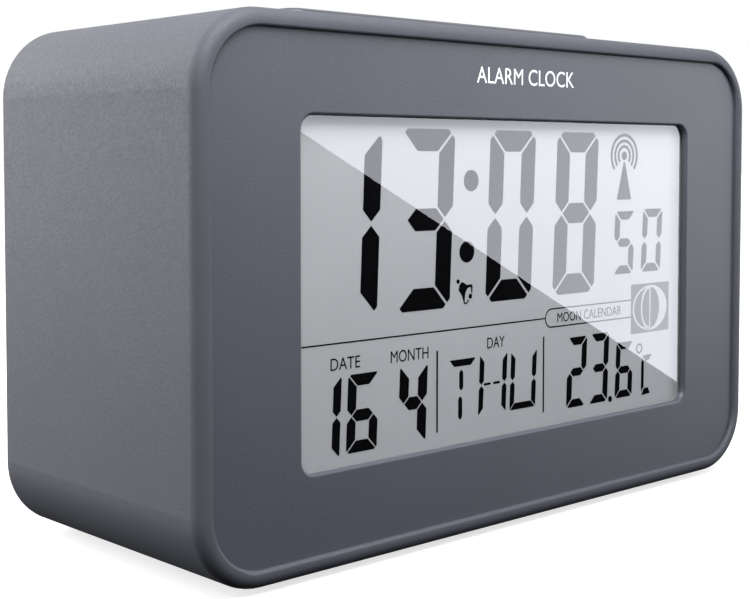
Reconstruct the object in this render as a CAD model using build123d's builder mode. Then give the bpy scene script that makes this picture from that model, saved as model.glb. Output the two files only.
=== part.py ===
"""Digital radio alarm clock: a rounded sleeve, a set-in bezel with a liquid crystal display, a top
snooze key, and a back cover with keys, an alarm switch, a buzzer and a battery bay.

Millimetres. +X is to the right as seen from the front, the display faces -Y, and +Z is up. The origin is
at the bottom centre, on the surface that the rubber feet stand on.
"""

import os
from math import tan, radians

from build123d import *

# ---- driving dimensions ----------------------------------------------------------------------------------
WIDTH, DEPTH, HEIGHT = 130.0, 52.0, 80.0  # the sleeve, without feet and snooze key
CORNER_R = 11.3  # outer corner radius, seen from the front
WALL = 2.2  # sleeve wall
FOOT_DROP = 1.0  # how far the feet stand below the sleeve
FRONT_Y, REAR_Y = -DEPTH / 2, DEPTH / 2
BASE_Z, TOP_Z = FOOT_DROP, FOOT_DROP + HEIGHT
MID_Z = (BASE_Z + TOP_Z) / 2
INNER_TOP_Z = TOP_Z - WALL

# front lip and bezel
LIP_WIDTH, LIP_DEPTH = 2.7, 0.8  # width seen from the front, and depth to the bezel's face
LIP_OUTER_R, LIP_INNER_R = 1.9, 0.5
BEZEL_Y, BEZEL_T = FRONT_Y + LIP_DEPTH, 1.8
BEZEL_BACK_Y = BEZEL_Y + BEZEL_T
WINDOW_W, WINDOW_H, WINDOW_R = 92.7, 51.0, 2.2
WINDOW_EDGE_R = 0.5
FIT_GAP = 0.1  # clearance between moulded parts

# display stack, each piece's front face and thickness
LENS_Y, LENS_T, LENS_MARGIN = BEZEL_Y + 0.9, 0.8, 1.9
LCD_W, FRONT_GLASS_H, REAR_GLASS_H = 97.0, 62.0, 55.0
FRONT_FILM_Y, FILM_T = LENS_Y + LENS_T + 0.1, 0.2
FRONT_GLASS_Y, GLASS_T = FRONT_FILM_Y + FILM_T, 1.1
REAR_GLASS_Y = FRONT_GLASS_Y + GLASS_T
REAR_FILM_Y = REAR_GLASS_Y + GLASS_T
GUIDE_Y, GUIDE_T = REAR_FILM_Y + FILM_T + 0.1, 2.0
HOLDER_FLOOR_Y, HOLDER_FLOOR_T = GUIDE_Y + GUIDE_T, 1.2
HOLDER_RIM_T = 1.2
HOLDER_EAR_X, HOLDER_EAR_DZ = 56.0, 15.0
ZEBRA_L, ZEBRA_T = 90.0, 2.0
ZEBRA_DZ = (FRONT_GLASS_H + REAR_GLASS_H) / 4  # middle of each contact ledge from the display's centre
BOARD_Y, BOARD_T = HOLDER_FLOOR_Y + HOLDER_FLOOR_T, 1.6
BOARD_BACK_Y = BOARD_Y + BOARD_T

# back cover
COVER_T, COVER_SETBACK, RABBET_WALL = 2.2, 0.2, 1.1
COVER_BACK_Y = REAR_Y - COVER_SETBACK
COVER_Y = COVER_BACK_Y - COVER_T
SKIRT_DEPTH, SKIRT_T = 3.0, 1.2

# case screws, down long posts on the back cover into long bosses on the bezel
POST_X, POST_DZ, POST_R = 54.0, 29.0, 3.8
POST_MEET_Y = 4.0  # where cover post and bezel boss meet
SCREW_SPOTS = [(x, MID_Z + z) for x in (-POST_X, POST_X) for z in (-POST_DZ, POST_DZ)]

# battery bay for two AA cells lying along X, one above the other
BAY_Z, BAY_L, BAY_H, BAY_FLOOR_Y, BAY_WALL = 26.0, 58.0, 30.5, 8.8, 1.5
CELL_R, CELL_L, NUB_R, NUB_L = 7.1, 48.6, 2.7, 1.4
CELL_Y = BAY_FLOOR_Y + CELL_R + 0.1
CELL_DZ = BAY_H / 4 - 0.1
CONTACT_T, CONTACT_SIZE, TAB_W, TAB_Y = 0.4, 10.0, 4.0, 12.0
SPRING_WIRE_R = 0.35
DOOR_T, DOOR_LEDGE = 1.8, 3.2
DOOR_W, DOOR_H = BAY_L + 2 * DOOR_LEDGE, BAY_H + 2 * DOOR_LEDGE
DOOR_Y = COVER_BACK_Y - DOOR_T

# rear keys and alarm switch, in a shallow recess
PANEL_Z, PANEL_W, PANEL_H, PANEL_SINK = 57.0, 98.0, 15.6, 1.2
PANEL_Y = COVER_BACK_Y - PANEL_SINK
PANEL_BACK_Y = PANEL_Y - COVER_T
KEY_NAMES = ("mode_key", "up_key", "down_key", "alarm_key", "wave_key")
KEY_X = [34.0 - 15.5 * i for i in range(len(KEY_NAMES))]
KEY_W, KEY_H, KEY_R = 11.0, 6.0, 2.6
KEY_FLANGE, KEY_FLANGE_T, KEY_GAP = 1.3, 1.0, 0.2
KEY_TOP_Y = REAR_Y - 0.3
KEY_BOARD_T, KEY_BOARD_BACK_Y = 1.6, 19.2
KEY_BOARD_Y = KEY_BOARD_BACK_Y - KEY_BOARD_T
KEY_BOARD_W, KEY_BOARD_H = 98.6, 19.0
KEY_BOSS_SPOTS = [(x, PANEL_Z + z) for x in (-46.0, 46.0) for z in (-7.0, 7.0)]
MAT_BASE_T, DOME_R = 0.8, 3.2
SWITCH_X, SWITCH_TRAVEL = -42.5, 3.0
KNOB_W, KNOB_H = 3.6, 3.0

# buzzer and vents
BUZZER_X, BUZZER_Z, BUZZER_R = -47.5, 29.0, 12.0
VENT_X = 47.5
SLOT_W, SLOT_PITCH = 1.4, 3.2

# snooze key and its board, under the sleeve's top wall
SNOOZE_W, SNOOZE_D, SNOOZE_R, SNOOZE_RISE = 73.4, 22.2, 3.0, 2.4
SNOOZE_GAP, SNOOZE_SKIN, SNOOZE_SIDE = 0.3, 1.8, 1.4
SNOOZE_TOP_Z = TOP_Z + SNOOZE_RISE
SNOOZE_FLANGE, SNOOZE_FLANGE_T = 1.4, 1.0
SNOOZE_BOARD_W, SNOOZE_BOARD_D, SNOOZE_BOARD_T = 92.0, 12.0, 1.2
SNOOZE_BOARD_TOP_Z = 73.4
SNOOZE_BOSS_X, SPRING_X = 42.0, 24.0
SWITCH_SIDE, SWITCH_BODY_H = 6.0, 3.5
PLUNGER_R, PLUNGER_TOP_Z = 1.6, SNOOZE_BOARD_TOP_Z + 4.9
FOOT_SPOTS = {
    "foot_front_left": (-50.0, -16.5),
    "foot_front_right": (50.0, -16.5),
    "foot_rear_left": (-50.0, 16.5),
    "foot_rear_right": (50.0, 16.5),
}
FOOT_R, FOOT_SINK = 4.5, 0.8

# radio: a ferrite rod aerial in a bracket on the main board
ROD_R, ROD_L, ROD_Y, ROD_Z = 4.2, 60.0, 2.0, 61.0
COIL_R, COIL_L = 5.6, 16.0
CRADLE_X, CRADLE_T = 22.0, 5.0


def at_depth(y):
    """A drawing plane parallel to the front, at depth y. Its own axes are X and Z, and it faces the front."""
    return Plane.XZ.offset(-y)


def backwards(thickness):
    """The amount that extrudes a front-facing sketch towards the rear by thickness."""
    return -thickness


def save(builder, name):
    """Labels a finished piece and writes its STEP file."""
    builder.part.label = name
    export_step(builder.part, f"parts/{name}.step")
    print(name, "solids", len(builder.part.solids()), "volume", round(builder.part.volume, 1))


def rounded_block(size, y, thickness, radius, centre=(0.0, MID_Z), mode=Mode.ADD):
    """A rounded rectangle (X by Z) at depth y, carried towards the rear. Call it inside a BuildPart."""
    with BuildSketch(at_depth(y)) as drawn:
        with Locations(centre):
            RectangleRounded(size[0], size[1], radius)
    extrude(drawn.sketch, amount=backwards(thickness), mode=mode)


def plain_block(size, y, thickness, centre=(0.0, MID_Z), mode=Mode.ADD):
    """A square-cornered block (X by Z) at depth y, carried towards the rear. Call it inside a BuildPart."""
    with BuildSketch(at_depth(y)) as drawn:
        with Locations(centre):
            Rectangle(size[0], size[1])
    extrude(drawn.sketch, amount=backwards(thickness), mode=mode)


def round_bars(radius, y, thickness, centres, mode=Mode.ADD):
    """Round bars along Y from depth y towards the rear, one at each centre. Call it inside a BuildPart."""
    with BuildSketch(at_depth(y)) as drawn:
        with Locations(*centres):
            Circle(radius)
    extrude(drawn.sketch, amount=backwards(thickness), mode=mode)


def outline(inset, y, thickness, mode=Mode.ADD):
    """The sleeve's outline taken in by inset, at depth y. Call it inside a BuildPart."""
    rounded_block((WIDTH - 2 * inset, HEIGHT - 2 * inset), y, thickness, CORNER_R - inset, mode=mode)


# ---- case ------------------------------------------------------------------------------------------------
def case_sleeve():
    """The one-piece tube with its rounded front lip."""
    with BuildPart() as sleeve:
        outline(0, FRONT_Y, DEPTH)
        fillet(sleeve.edges().group_by(Axis.Y)[0], LIP_OUTER_R)
        fillet(sleeve.edges().group_by(Axis.Y)[-1], 0.5)
        outline(WALL, BEZEL_Y, DEPTH, mode=Mode.SUBTRACT)
        outline(LIP_WIDTH, FRONT_Y, LIP_DEPTH, mode=Mode.SUBTRACT)
        front = sleeve.faces().filter_by(Axis.Y).sort_by(Axis.Y)[0]
        fillet(front.inner_wires()[0].edges(), LIP_INNER_R)
        outline(RABBET_WALL, COVER_Y, DEPTH, mode=Mode.SUBTRACT)
        # opening for the snooze key
        with BuildSketch(Plane.XY.offset(INNER_TOP_Z - 1)):
            RectangleRounded(SNOOZE_W + 2 * SNOOZE_GAP, SNOOZE_D + 2 * SNOOZE_GAP, SNOOZE_R + SNOOZE_GAP)
        extrude(amount=WALL + 2, mode=Mode.SUBTRACT)
        # bosses that carry the snooze board
        with BuildSketch(Plane.XY.offset(SNOOZE_BOARD_TOP_Z)):
            with Locations((-SNOOZE_BOSS_X, 0), (SNOOZE_BOSS_X, 0)):
                Circle(2.8)
        extrude(amount=INNER_TOP_Z - SNOOZE_BOARD_TOP_Z)
        with BuildSketch(Plane.XY.offset(SNOOZE_BOARD_TOP_Z)):
            with Locations((-SNOOZE_BOSS_X, 0), (SNOOZE_BOSS_X, 0)):
                Circle(1.05)
        extrude(amount=5, mode=Mode.SUBTRACT)
        # seats for the feet
        with BuildSketch(Plane.XY.offset(BASE_Z)):
            with Locations(*FOOT_SPOTS.values()):
                Circle(FOOT_R + FIT_GAP)
        extrude(amount=FOOT_SINK, mode=Mode.SUBTRACT)
    save(sleeve, "case_sleeve")


def feet():
    """Four stuck-on rubber feet with a softened lower edge."""
    for name, spot in FOOT_SPOTS.items():
        with BuildPart() as foot:
            with BuildSketch():
                with Locations(spot):
                    Circle(FOOT_R)
            extrude(amount=FOOT_DROP + FOOT_SINK)
            fillet(foot.edges().group_by(Axis.Z)[0], 0.4)
        save(foot, name)


def front_bezel():
    """The plate behind the lip, with the display window, the case bosses and the board bosses."""
    with BuildPart() as bezel:
        outline(WALL + FIT_GAP, BEZEL_Y, BEZEL_T)
        rounded_block((WINDOW_W, WINDOW_H), BEZEL_Y, BEZEL_T, WINDOW_R, mode=Mode.SUBTRACT)
        front = bezel.faces().filter_by(Axis.Y).sort_by(Axis.Y)[0]
        fillet(front.inner_wires()[0].edges(), WINDOW_EDGE_R)
        pocket = (WINDOW_W + 2 * LENS_MARGIN + 2 * FIT_GAP, WINDOW_H + 2 * LENS_MARGIN + 2 * FIT_GAP)
        plain_block(pocket, LENS_Y, BEZEL_BACK_Y - LENS_Y, mode=Mode.SUBTRACT)
        round_bars(3.5, BEZEL_BACK_Y, POST_MEET_Y - BEZEL_BACK_Y, SCREW_SPOTS)
        round_bars(1.3, POST_MEET_Y - 13, 13, SCREW_SPOTS, mode=Mode.SUBTRACT)
        round_bars(2.8, BEZEL_BACK_Y, HOLDER_FLOOR_Y - BEZEL_BACK_Y, ear_spots())
        round_bars(1.0, HOLDER_FLOOR_Y - 5, 5, ear_spots(), mode=Mode.SUBTRACT)
    save(bezel, "front_bezel")


def ear_spots():
    """The four screw places that hold the display holder and the main board to the bezel."""
    return [(x, MID_Z + z) for x in (-HOLDER_EAR_X, HOLDER_EAR_X) for z in (-HOLDER_EAR_DZ, HOLDER_EAR_DZ)]


def back_cover():
    """The rear wall with its battery bay, key recess, buzzer slots, vents and screw posts."""
    with BuildPart() as cover:
        outline(RABBET_WALL + FIT_GAP, COVER_Y, COVER_T)
        outline(WALL + 0.15, COVER_Y - SKIRT_DEPTH, SKIRT_DEPTH)
        outline(WALL + 0.15 + SKIRT_T, COVER_Y - SKIRT_DEPTH, SKIRT_DEPTH, mode=Mode.SUBTRACT)
        # screw posts
        round_bars(POST_R, POST_MEET_Y, COVER_Y - POST_MEET_Y, SCREW_SPOTS)
        # battery bay
        bay_centre = (0.0, BAY_Z)
        plain_block((DOOR_W + 5, DOOR_H + 4), DOOR_Y - 2, COVER_BACK_Y - DOOR_Y, centre=bay_centre)
        floor_y = BAY_FLOOR_Y - BAY_WALL
        bay_box = (BAY_L + 2 * BAY_WALL, BAY_H + 2 * BAY_WALL)
        plain_block(bay_box, floor_y, COVER_Y - floor_y, centre=bay_centre)
        plain_block((BAY_L, BAY_H), BAY_FLOOR_Y, DEPTH, centre=bay_centre, mode=Mode.SUBTRACT)
        door_seat = (DOOR_W + 2 * FIT_GAP, DOOR_H + 2 * FIT_GAP)
        rounded_block(door_seat, DOOR_Y, DOOR_T + 1, 2.0 + FIT_GAP, centre=bay_centre, mode=Mode.SUBTRACT)
        # slots that the contact tabs pass through
        for x, z in contact_tabs():
            with BuildSketch(Plane.YZ.offset(x - 2)):
                with Locations((TAB_Y, z)):
                    Rectangle(CONTACT_T + 0.2, TAB_W + 0.3)
            extrude(amount=4, mode=Mode.SUBTRACT)
        # finger scoop above the door's latch
        with BuildSketch(at_depth(COVER_BACK_Y - 1.2)):
            with Locations((0, BAY_Z + DOOR_H / 2)):
                SlotOverall(16, 6)
        extrude(amount=backwards(2), mode=Mode.SUBTRACT)
        # key recess
        panel_centre = (0.0, PANEL_Z)
        rounded_block((PANEL_W + 2, PANEL_H + 2), PANEL_BACK_Y, 2, 4.5, centre=panel_centre)
        rounded_block((PANEL_W, PANEL_H), PANEL_Y, 3, 4.0, centre=panel_centre, mode=Mode.SUBTRACT)
        with BuildSketch(at_depth(PANEL_BACK_Y - 1)):
            with Locations(*[(x, PANEL_Z) for x in KEY_X]):
                RectangleRounded(KEY_W + 2 * KEY_GAP, KEY_H + 2 * KEY_GAP, KEY_R + KEY_GAP)
            with Locations((SWITCH_X, PANEL_Z)):
                RectangleRounded(KNOB_W + SWITCH_TRAVEL + 0.6, KNOB_H + 0.6, 0.8)
        extrude(amount=backwards(5), mode=Mode.SUBTRACT)
        round_bars(2.2, KEY_BOARD_BACK_Y, COVER_Y - KEY_BOARD_BACK_Y, KEY_BOSS_SPOTS)
        round_bars(0.9, KEY_BOARD_BACK_Y, 3.5, KEY_BOSS_SPOTS, mode=Mode.SUBTRACT)
        # buzzer slots and temperature vents
        with BuildSketch(at_depth(COVER_Y - 1)):
            for i, length in zip(range(-2, 3), (8, 12, 14, 12, 8)):
                with Locations((BUZZER_X + i * SLOT_PITCH, BUZZER_Z)):
                    SlotOverall(length, SLOT_W, rotation=90)
            for i in range(-1, 3):
                with Locations((VENT_X, BUZZER_Z + (i - 0.5) * SLOT_PITCH)):
                    SlotOverall(10, SLOT_W)
        extrude(amount=backwards(5), mode=Mode.SUBTRACT)
        # counterbored screw holes
        round_bars(2.8, POST_MEET_Y + 2, DEPTH, SCREW_SPOTS, mode=Mode.SUBTRACT)
        round_bars(1.5, POST_MEET_Y - 1, DEPTH, SCREW_SPOTS, mode=Mode.SUBTRACT)
    save(cover, "back_cover")


def cross_screws(name, spots, seat_y, head_way, head_r, head_h, shank_r, shank_l):
    """A group of cross-head screws along Y. The heads stand from seat_y towards the rear if head_way is 1."""
    with BuildPart() as screws:
        with BuildSketch(at_depth(seat_y)):
            with Locations(*spots):
                Circle(head_r)
        extrude(amount=backwards(head_way * head_h))
        tops = screws.edges().group_by(Axis.Y)[-1 if head_way > 0 else 0]
        fillet(tops, head_h * 0.4)
        with BuildSketch(at_depth(seat_y)):
            with Locations(*spots):
                Circle(shank_r)
        extrude(amount=head_way * shank_l)
        tips = screws.edges().group_by(Axis.Y)[0 if head_way > 0 else -1]
        chamfer(tips, shank_r * 0.4)
        with BuildSketch(at_depth(seat_y + head_way * head_h)):
            with Locations(*spots):
                Rectangle(head_r * 1.1, head_r * 0.28)
                Rectangle(head_r * 0.28, head_r * 1.1)
        extrude(amount=head_way * head_h * 0.6, mode=Mode.SUBTRACT)
    save(screws, name)


# ---- display ---------------------------------------------------------------------------------------------
def display_stack():
    """The lens, the liquid crystal cell's glasses and films, and the light guide behind them."""
    lens = (WINDOW_W + 2 * LENS_MARGIN, WINDOW_H + 2 * LENS_MARGIN)
    active = (LCD_W - 1, REAR_GLASS_H - 1)
    sheets = {
        "display_lens": (lens, LENS_Y, LENS_T),
        "lcd_front_film": (active, FRONT_FILM_Y, FILM_T),
        "lcd_front_glass": ((LCD_W, FRONT_GLASS_H), FRONT_GLASS_Y, GLASS_T),
        "lcd_rear_glass": ((LCD_W, REAR_GLASS_H), REAR_GLASS_Y, GLASS_T),
        "lcd_rear_film": (active, REAR_FILM_Y, FILM_T),
    }
    for name, (size, y, thickness) in sheets.items():
        with BuildPart() as sheet:
            plain_block(size, y, thickness)
        save(sheet, name)


def backlight():
    """The light guide, lit from its right end by three lamps on a narrow strip."""
    guide_l, guide_h = 91.6, 53.0
    guide_x = -47.0 + guide_l / 2
    lamp_zs = [MID_Z + dz for dz in (-16.0, 0.0, 16.0)]
    with BuildPart() as guide:
        plain_block((guide_l, guide_h), GUIDE_Y, GUIDE_T, centre=(guide_x, MID_Z))
        chamfer(guide.edges().filter_by(Axis.Z).sort_by(Axis.X)[:2], 0.5)
    save(guide, "light_guide")
    with BuildPart() as lamps:
        for z in lamp_zs:
            plain_block((1.6, 3.6), GUIDE_Y + 0.1, 1.7, centre=(45.8, z))
    save(lamps, "backlight_lamps")
    with BuildPart() as strip:
        plain_block((0.8, 44.0), GUIDE_Y, GUIDE_T, centre=(47.0, MID_Z))
    save(strip, "backlight_strip")


def lcd_holder():
    """The tray that holds the display and light guide, with slots for the contact strips and four ears."""
    tray_y = FRONT_GLASS_Y - 0.1
    outer = (LCD_W + 0.4 + 2 * HOLDER_RIM_T, FRONT_GLASS_H + 0.4 + 2 * HOLDER_RIM_T)
    with BuildPart() as holder:
        plain_block(outer, tray_y, BOARD_Y - tray_y)
        plain_block((LCD_W + 0.4, FRONT_GLASS_H + 0.4), tray_y, HOLDER_FLOOR_Y - tray_y, mode=Mode.SUBTRACT)
        # low walls between the rear glass and each contact strip
        for side in (-1, 1):
            rib = (0, MID_Z + side * (REAR_GLASS_H / 2 + 0.35))
            plain_block((ZEBRA_L, 0.4), REAR_GLASS_Y + 0.1, HOLDER_FLOOR_Y - REAR_GLASS_Y - 0.1, centre=rib)
            slot = (ZEBRA_L + 0.4, ZEBRA_T + 0.2)
            slot_centre = (0, MID_Z + side * (ZEBRA_DZ + 0.35))
            plain_block(slot, HOLDER_FLOOR_Y - 1, 4, centre=slot_centre, mode=Mode.SUBTRACT)
        # ears
        for side in (-1, 1):
            for dz in (-HOLDER_EAR_DZ, HOLDER_EAR_DZ):
                ear_x = side * (HOLDER_EAR_X - 2.0)
                rounded_block((11.0, 7.0), HOLDER_FLOOR_Y, HOLDER_FLOOR_T, 2.0, centre=(ear_x, MID_Z + dz))
        round_bars(1.3, HOLDER_FLOOR_Y - 1, 4, ear_spots(), mode=Mode.SUBTRACT)
    save(holder, "lcd_holder")


def contact_strips():
    """The two rubber strips that join the glass ledges to the main board."""
    for name, side in (("zebra_strip_lower", -1), ("zebra_strip_upper", 1)):
        with BuildPart() as strip:
            centre = (0, MID_Z + side * (ZEBRA_DZ + 0.35))
            plain_block((ZEBRA_L, ZEBRA_T), REAR_GLASS_Y, BOARD_Y - REAR_GLASS_Y, centre=centre)
        save(strip, name)


# ---- main board ------------------------------------------------------------------------------------------
def main_board():
    """The board behind the display, wide in its middle where the screws are."""
    with BuildPart() as board:
        rounded_block((LCD_W + 1, 64.0), BOARD_Y, BOARD_T, 1.0)
        rounded_block((120.0, 42.0), BOARD_Y, BOARD_T, 1.5)
        round_bars(1.3, BOARD_Y - 1, 4, ear_spots(), mode=Mode.SUBTRACT)
    save(board, "main_board")


def board_parts():
    """What is soldered to the rear of the main board."""
    with BuildPart() as chip:
        with BuildSketch(at_depth(BOARD_BACK_Y)):
            with Locations((-14, 36)):
                Circle(8.0)
        extrude(amount=backwards(2.2))
        fillet(chip.edges().group_by(Axis.Y)[-1], 2.0)
    save(chip, "controller_chip")
    with BuildPart() as crystal:
        with BuildSketch(Plane.YZ.offset(4)):
            with Locations((BOARD_BACK_Y + 1.3, 30)):
                Circle(1.25)
        extrude(amount=6.5)
        fillet(crystal.edges().sort_by(Axis.X)[-1], 0.4)
    save(crystal, "clock_crystal")
    with BuildPart() as capacitors:
        round_bars(3.1, BOARD_BACK_Y, 7.5, [(40, 28), (48, 28)])
        fillet(capacitors.edges().group_by(Axis.Y)[-1], 0.5)
    save(capacitors, "board_capacitors")
    with BuildPart() as sensor:
        round_bars(0.4, BOARD_BACK_Y, 8, [(54, 44), (56.5, 44)])
        with BuildSketch(at_depth(BOARD_BACK_Y + 8)):
            with Locations((55.25, 44)):
                SlotOverall(4.6, 2.2)
        extrude(amount=backwards(3.4))
        fillet(sensor.edges().group_by(Axis.Y)[-1], 0.6)
    save(sensor, "temperature_sensor")


def aerial():
    """The ferrite rod, its winding, the bracket that carries it, and the receiver's small board."""
    with BuildPart() as rod:
        with BuildSketch(Plane.YZ.offset(-ROD_L / 2)):
            with Locations((ROD_Y, ROD_Z)):
                Circle(ROD_R)
        extrude(amount=ROD_L)
        chamfer(rod.edges(), 0.3)
    save(rod, "ferrite_rod")
    with BuildPart() as coil:
        with BuildSketch(Plane.YZ.offset(-COIL_L / 2)):
            with Locations((ROD_Y, ROD_Z)):
                Circle(COIL_R)
                Circle(ROD_R + 0.05, mode=Mode.SUBTRACT)
        extrude(amount=COIL_L)
        fillet(coil.edges().filter_by(GeomType.CIRCLE).group_by(SortBy.RADIUS)[-1], 0.4)
    save(coil, "antenna_coil")
    with BuildPart() as bracket:
        plain_block((2 * CRADLE_X + CRADLE_T + 6, 9), BOARD_BACK_Y, 1.2, centre=(0, ROD_Z))
        for side in (-1, 1):
            x = side * CRADLE_X
            plain_block((CRADLE_T, 7), BOARD_BACK_Y, ROD_Y - BOARD_BACK_Y, centre=(x, ROD_Z))
            with BuildSketch(Plane.YZ.offset(x - CRADLE_T / 2)):
                with Locations((ROD_Y, ROD_Z)):
                    Circle(ROD_R + 1.4)
            extrude(amount=CRADLE_T)
            with BuildSketch(Plane.YZ.offset(x - CRADLE_T / 2 - 1)):
                with Locations((ROD_Y, ROD_Z)):
                    Circle(ROD_R + 0.06)
                with Locations((ROD_Y + ROD_R, ROD_Z)):
                    Rectangle(ROD_R, 5)
            extrude(amount=CRADLE_T + 2, mode=Mode.SUBTRACT)
    save(bracket, "antenna_bracket")
    with BuildPart() as receiver:
        plain_block((16, 14), BOARD_BACK_Y + 2.5, 1.0, centre=(40, 52))
        round_bars(0.35, BOARD_BACK_Y, 4.2, [(34 + 3 * i, 47) for i in range(5)])
        plain_block((4, 4), BOARD_BACK_Y + 3.5, 1.2, centre=(39, 53))
        plain_block((3.5, 7), BOARD_BACK_Y + 3.5, 1.4, centre=(45, 53))
    save(receiver, "receiver_board")


def buzzer():
    """The sounding disc and the ring that spaces it off the back cover."""
    spot = [(BUZZER_X, BUZZER_Z)]
    with BuildPart() as ring:
        round_bars(BUZZER_R, COVER_Y - 3, 3, spot)
        round_bars(BUZZER_R - 1.4, COVER_Y - 2.6, 4, spot, mode=Mode.SUBTRACT)
        round_bars(BUZZER_R - 2.4, COVER_Y - 4, 4, spot, mode=Mode.SUBTRACT)
    save(ring, "buzzer_ring")
    with BuildPart() as disc:
        round_bars(BUZZER_R - 1.6, COVER_Y - 2.6, 0.3, spot)
        round_bars(BUZZER_R - 4.0, COVER_Y - 2.85, 0.25, spot)
    save(disc, "buzzer_disc")


# ---- power -----------------------------------------------------------------------------------------------
def contact_tabs():
    """Where each contact's solder tab leaves the bay: a joined pair on the left, two tabs on the right."""
    end = BAY_L / 2 + BAY_WALL / 2
    return [(-end, BAY_Z + CELL_DZ), (end, BAY_Z + CELL_DZ), (end, BAY_Z - CELL_DZ)]


def cells():
    """Two AA cells, the upper one with its nub to the right and the lower one with its nub to the left."""
    for name, side, z in (("battery_upper", 1, BAY_Z + CELL_DZ), ("battery_lower", -1, BAY_Z - CELL_DZ)):
        tip = side * (BAY_L / 2 - CONTACT_T - 0.05)
        facing = Plane(origin=(tip, CELL_Y, z), x_dir=(0, 1, 0), z_dir=(-side, 0, 0))
        with BuildPart() as cell:
            with BuildSketch(facing):
                Circle(NUB_R)
            extrude(amount=NUB_L)
            with BuildSketch(facing.offset(NUB_L)):
                Circle(CELL_R)
            extrude(amount=CELL_L)
            rims = cell.edges().filter_by(GeomType.CIRCLE).group_by(SortBy.RADIUS)[-1]
            fillet(rims, 0.6)
        save(cell, name)


def contact_spring(side, z):
    """Adds a coil that seats on a plate and reaches a cell's flat end. Call it inside a BuildPart."""
    start = side * (BAY_L / 2 - CONTACT_T - SPRING_WIRE_R - 0.02)
    reach = BAY_L - 2 * CONTACT_T - CELL_L - NUB_L - 2 * SPRING_WIRE_R - 0.12
    with BuildLine() as path:
        Helix(reach / 3, reach, 3.2, center=(start, CELL_Y, z), direction=(-side, 0, 0))
    with BuildSketch(Plane(origin=path.line @ 0, z_dir=path.line % 0)) as wire:
        Circle(SPRING_WIRE_R)
    sweep(wire.sketch, path=path.line, is_frenet=True)


def contact_plate(side, z):
    """Adds a contact plate at one end of the bay. Call it inside a BuildPart."""
    plate_x = side * (BAY_L / 2 - CONTACT_T / 2)
    with BuildSketch(Plane.YZ.offset(plate_x - CONTACT_T / 2)) as plate:
        with Locations((CELL_Y - 1, z)):
            RectangleRounded(CONTACT_SIZE, CONTACT_SIZE, 1.0)
    extrude(plate.sketch, amount=CONTACT_T)


def contact_tab(side, z):
    """Adds the solder tab that leaves through the bay's end wall. Call it inside a BuildPart."""
    with BuildSketch(Plane.YZ.offset(side * (BAY_L / 2 - CONTACT_T))) as tab:
        with Locations((TAB_Y, z)):
            Rectangle(CONTACT_T, TAB_W)
    extrude(tab.sketch, amount=side * (CONTACT_T + BAY_WALL + 2.2))


def contacts():
    """Nickel-plated contacts: a plate and a spring on the right, and the bridge between cells on the left."""
    upper, lower = BAY_Z + CELL_DZ, BAY_Z - CELL_DZ
    with BuildPart() as positive:
        contact_plate(1, upper)
        contact_tab(1, upper)
    save(positive, "positive_contact")
    with BuildPart() as negative:
        contact_plate(1, lower)
        contact_tab(1, lower)
        contact_spring(1, lower)
    save(negative, "negative_contact")
    with BuildPart() as bridge:
        contact_plate(-1, upper)
        contact_plate(-1, lower)
        with BuildSketch(Plane.YZ.offset(-BAY_L / 2)):
            with Locations((CELL_Y - 1, BAY_Z)):
                Rectangle(6, 2 * CELL_DZ)
        extrude(amount=CONTACT_T)
        contact_tab(-1, upper)
        contact_spring(-1, upper)
    save(bridge, "bridge_contact")


def battery_door():
    """The pull-off door: a plate with two lugs below, a cut-round latch tongue above, and grip ribs."""
    centre = (0.0, BAY_Z)
    top = BAY_Z + DOOR_H / 2
    with BuildPart() as door:
        rounded_block((DOOR_W, DOOR_H), DOOR_Y, DOOR_T, 2.0, centre=centre)
        fillet(door.edges().group_by(Axis.Y)[-1], 0.3)
        # the tongue, freed by a slot on each side
        with BuildSketch(at_depth(DOOR_Y - 1)):
            for x in (-6.5, 6.5):
                with Locations((x, top - 4)):
                    Rectangle(1.0, 8.2)
        extrude(amount=backwards(5), mode=Mode.SUBTRACT)
        # thumb notch that the scoop in the cover leads into
        with BuildSketch(at_depth(COVER_BACK_Y - 1.2)):
            with Locations((0, top)):
                SlotOverall(11, 3.4)
        extrude(amount=backwards(2), mode=Mode.SUBTRACT)
        # locating lugs, just inside the bay's lower wall, and an arm down from the tongue
        for x in (-20, 20):
            plain_block((8, 1.2), DOOR_Y - 2.5, 2.5, centre=(x, BAY_Z - BAY_H / 2 + 0.7))
        plain_block((11, 1.2), DOOR_Y - 3.2, 3.2, centre=(0, BAY_Z + BAY_H / 2 - 0.7))
        # grip ribs
        with BuildSketch(at_depth(COVER_BACK_Y)):
            for i in range(4):
                with Locations((0, top - 10 - 2.2 * i)):
                    SlotOverall(14 - 2.6 * i, 1.0)
        extrude(amount=backwards(0.2))
    save(door, "battery_door")


# ---- rear keys and alarm switch --------------------------------------------------------------------------
def rear_keys():
    """Five keys with a flange inside the cover."""
    flange_y = PANEL_BACK_Y - KEY_FLANGE_T - FIT_GAP
    for name, x in zip(KEY_NAMES, KEY_X):
        with BuildPart() as key:
            flange = (KEY_W + 2 * KEY_FLANGE, KEY_H + 2 * KEY_FLANGE)
            rounded_block(flange, flange_y, KEY_FLANGE_T, KEY_R + KEY_FLANGE, centre=(x, PANEL_Z))
            rounded_block((KEY_W, KEY_H), flange_y, KEY_TOP_Y - flange_y, KEY_R, centre=(x, PANEL_Z))
            fillet(key.edges().group_by(Axis.Y)[-1], 0.6)
        save(key, name)


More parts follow.
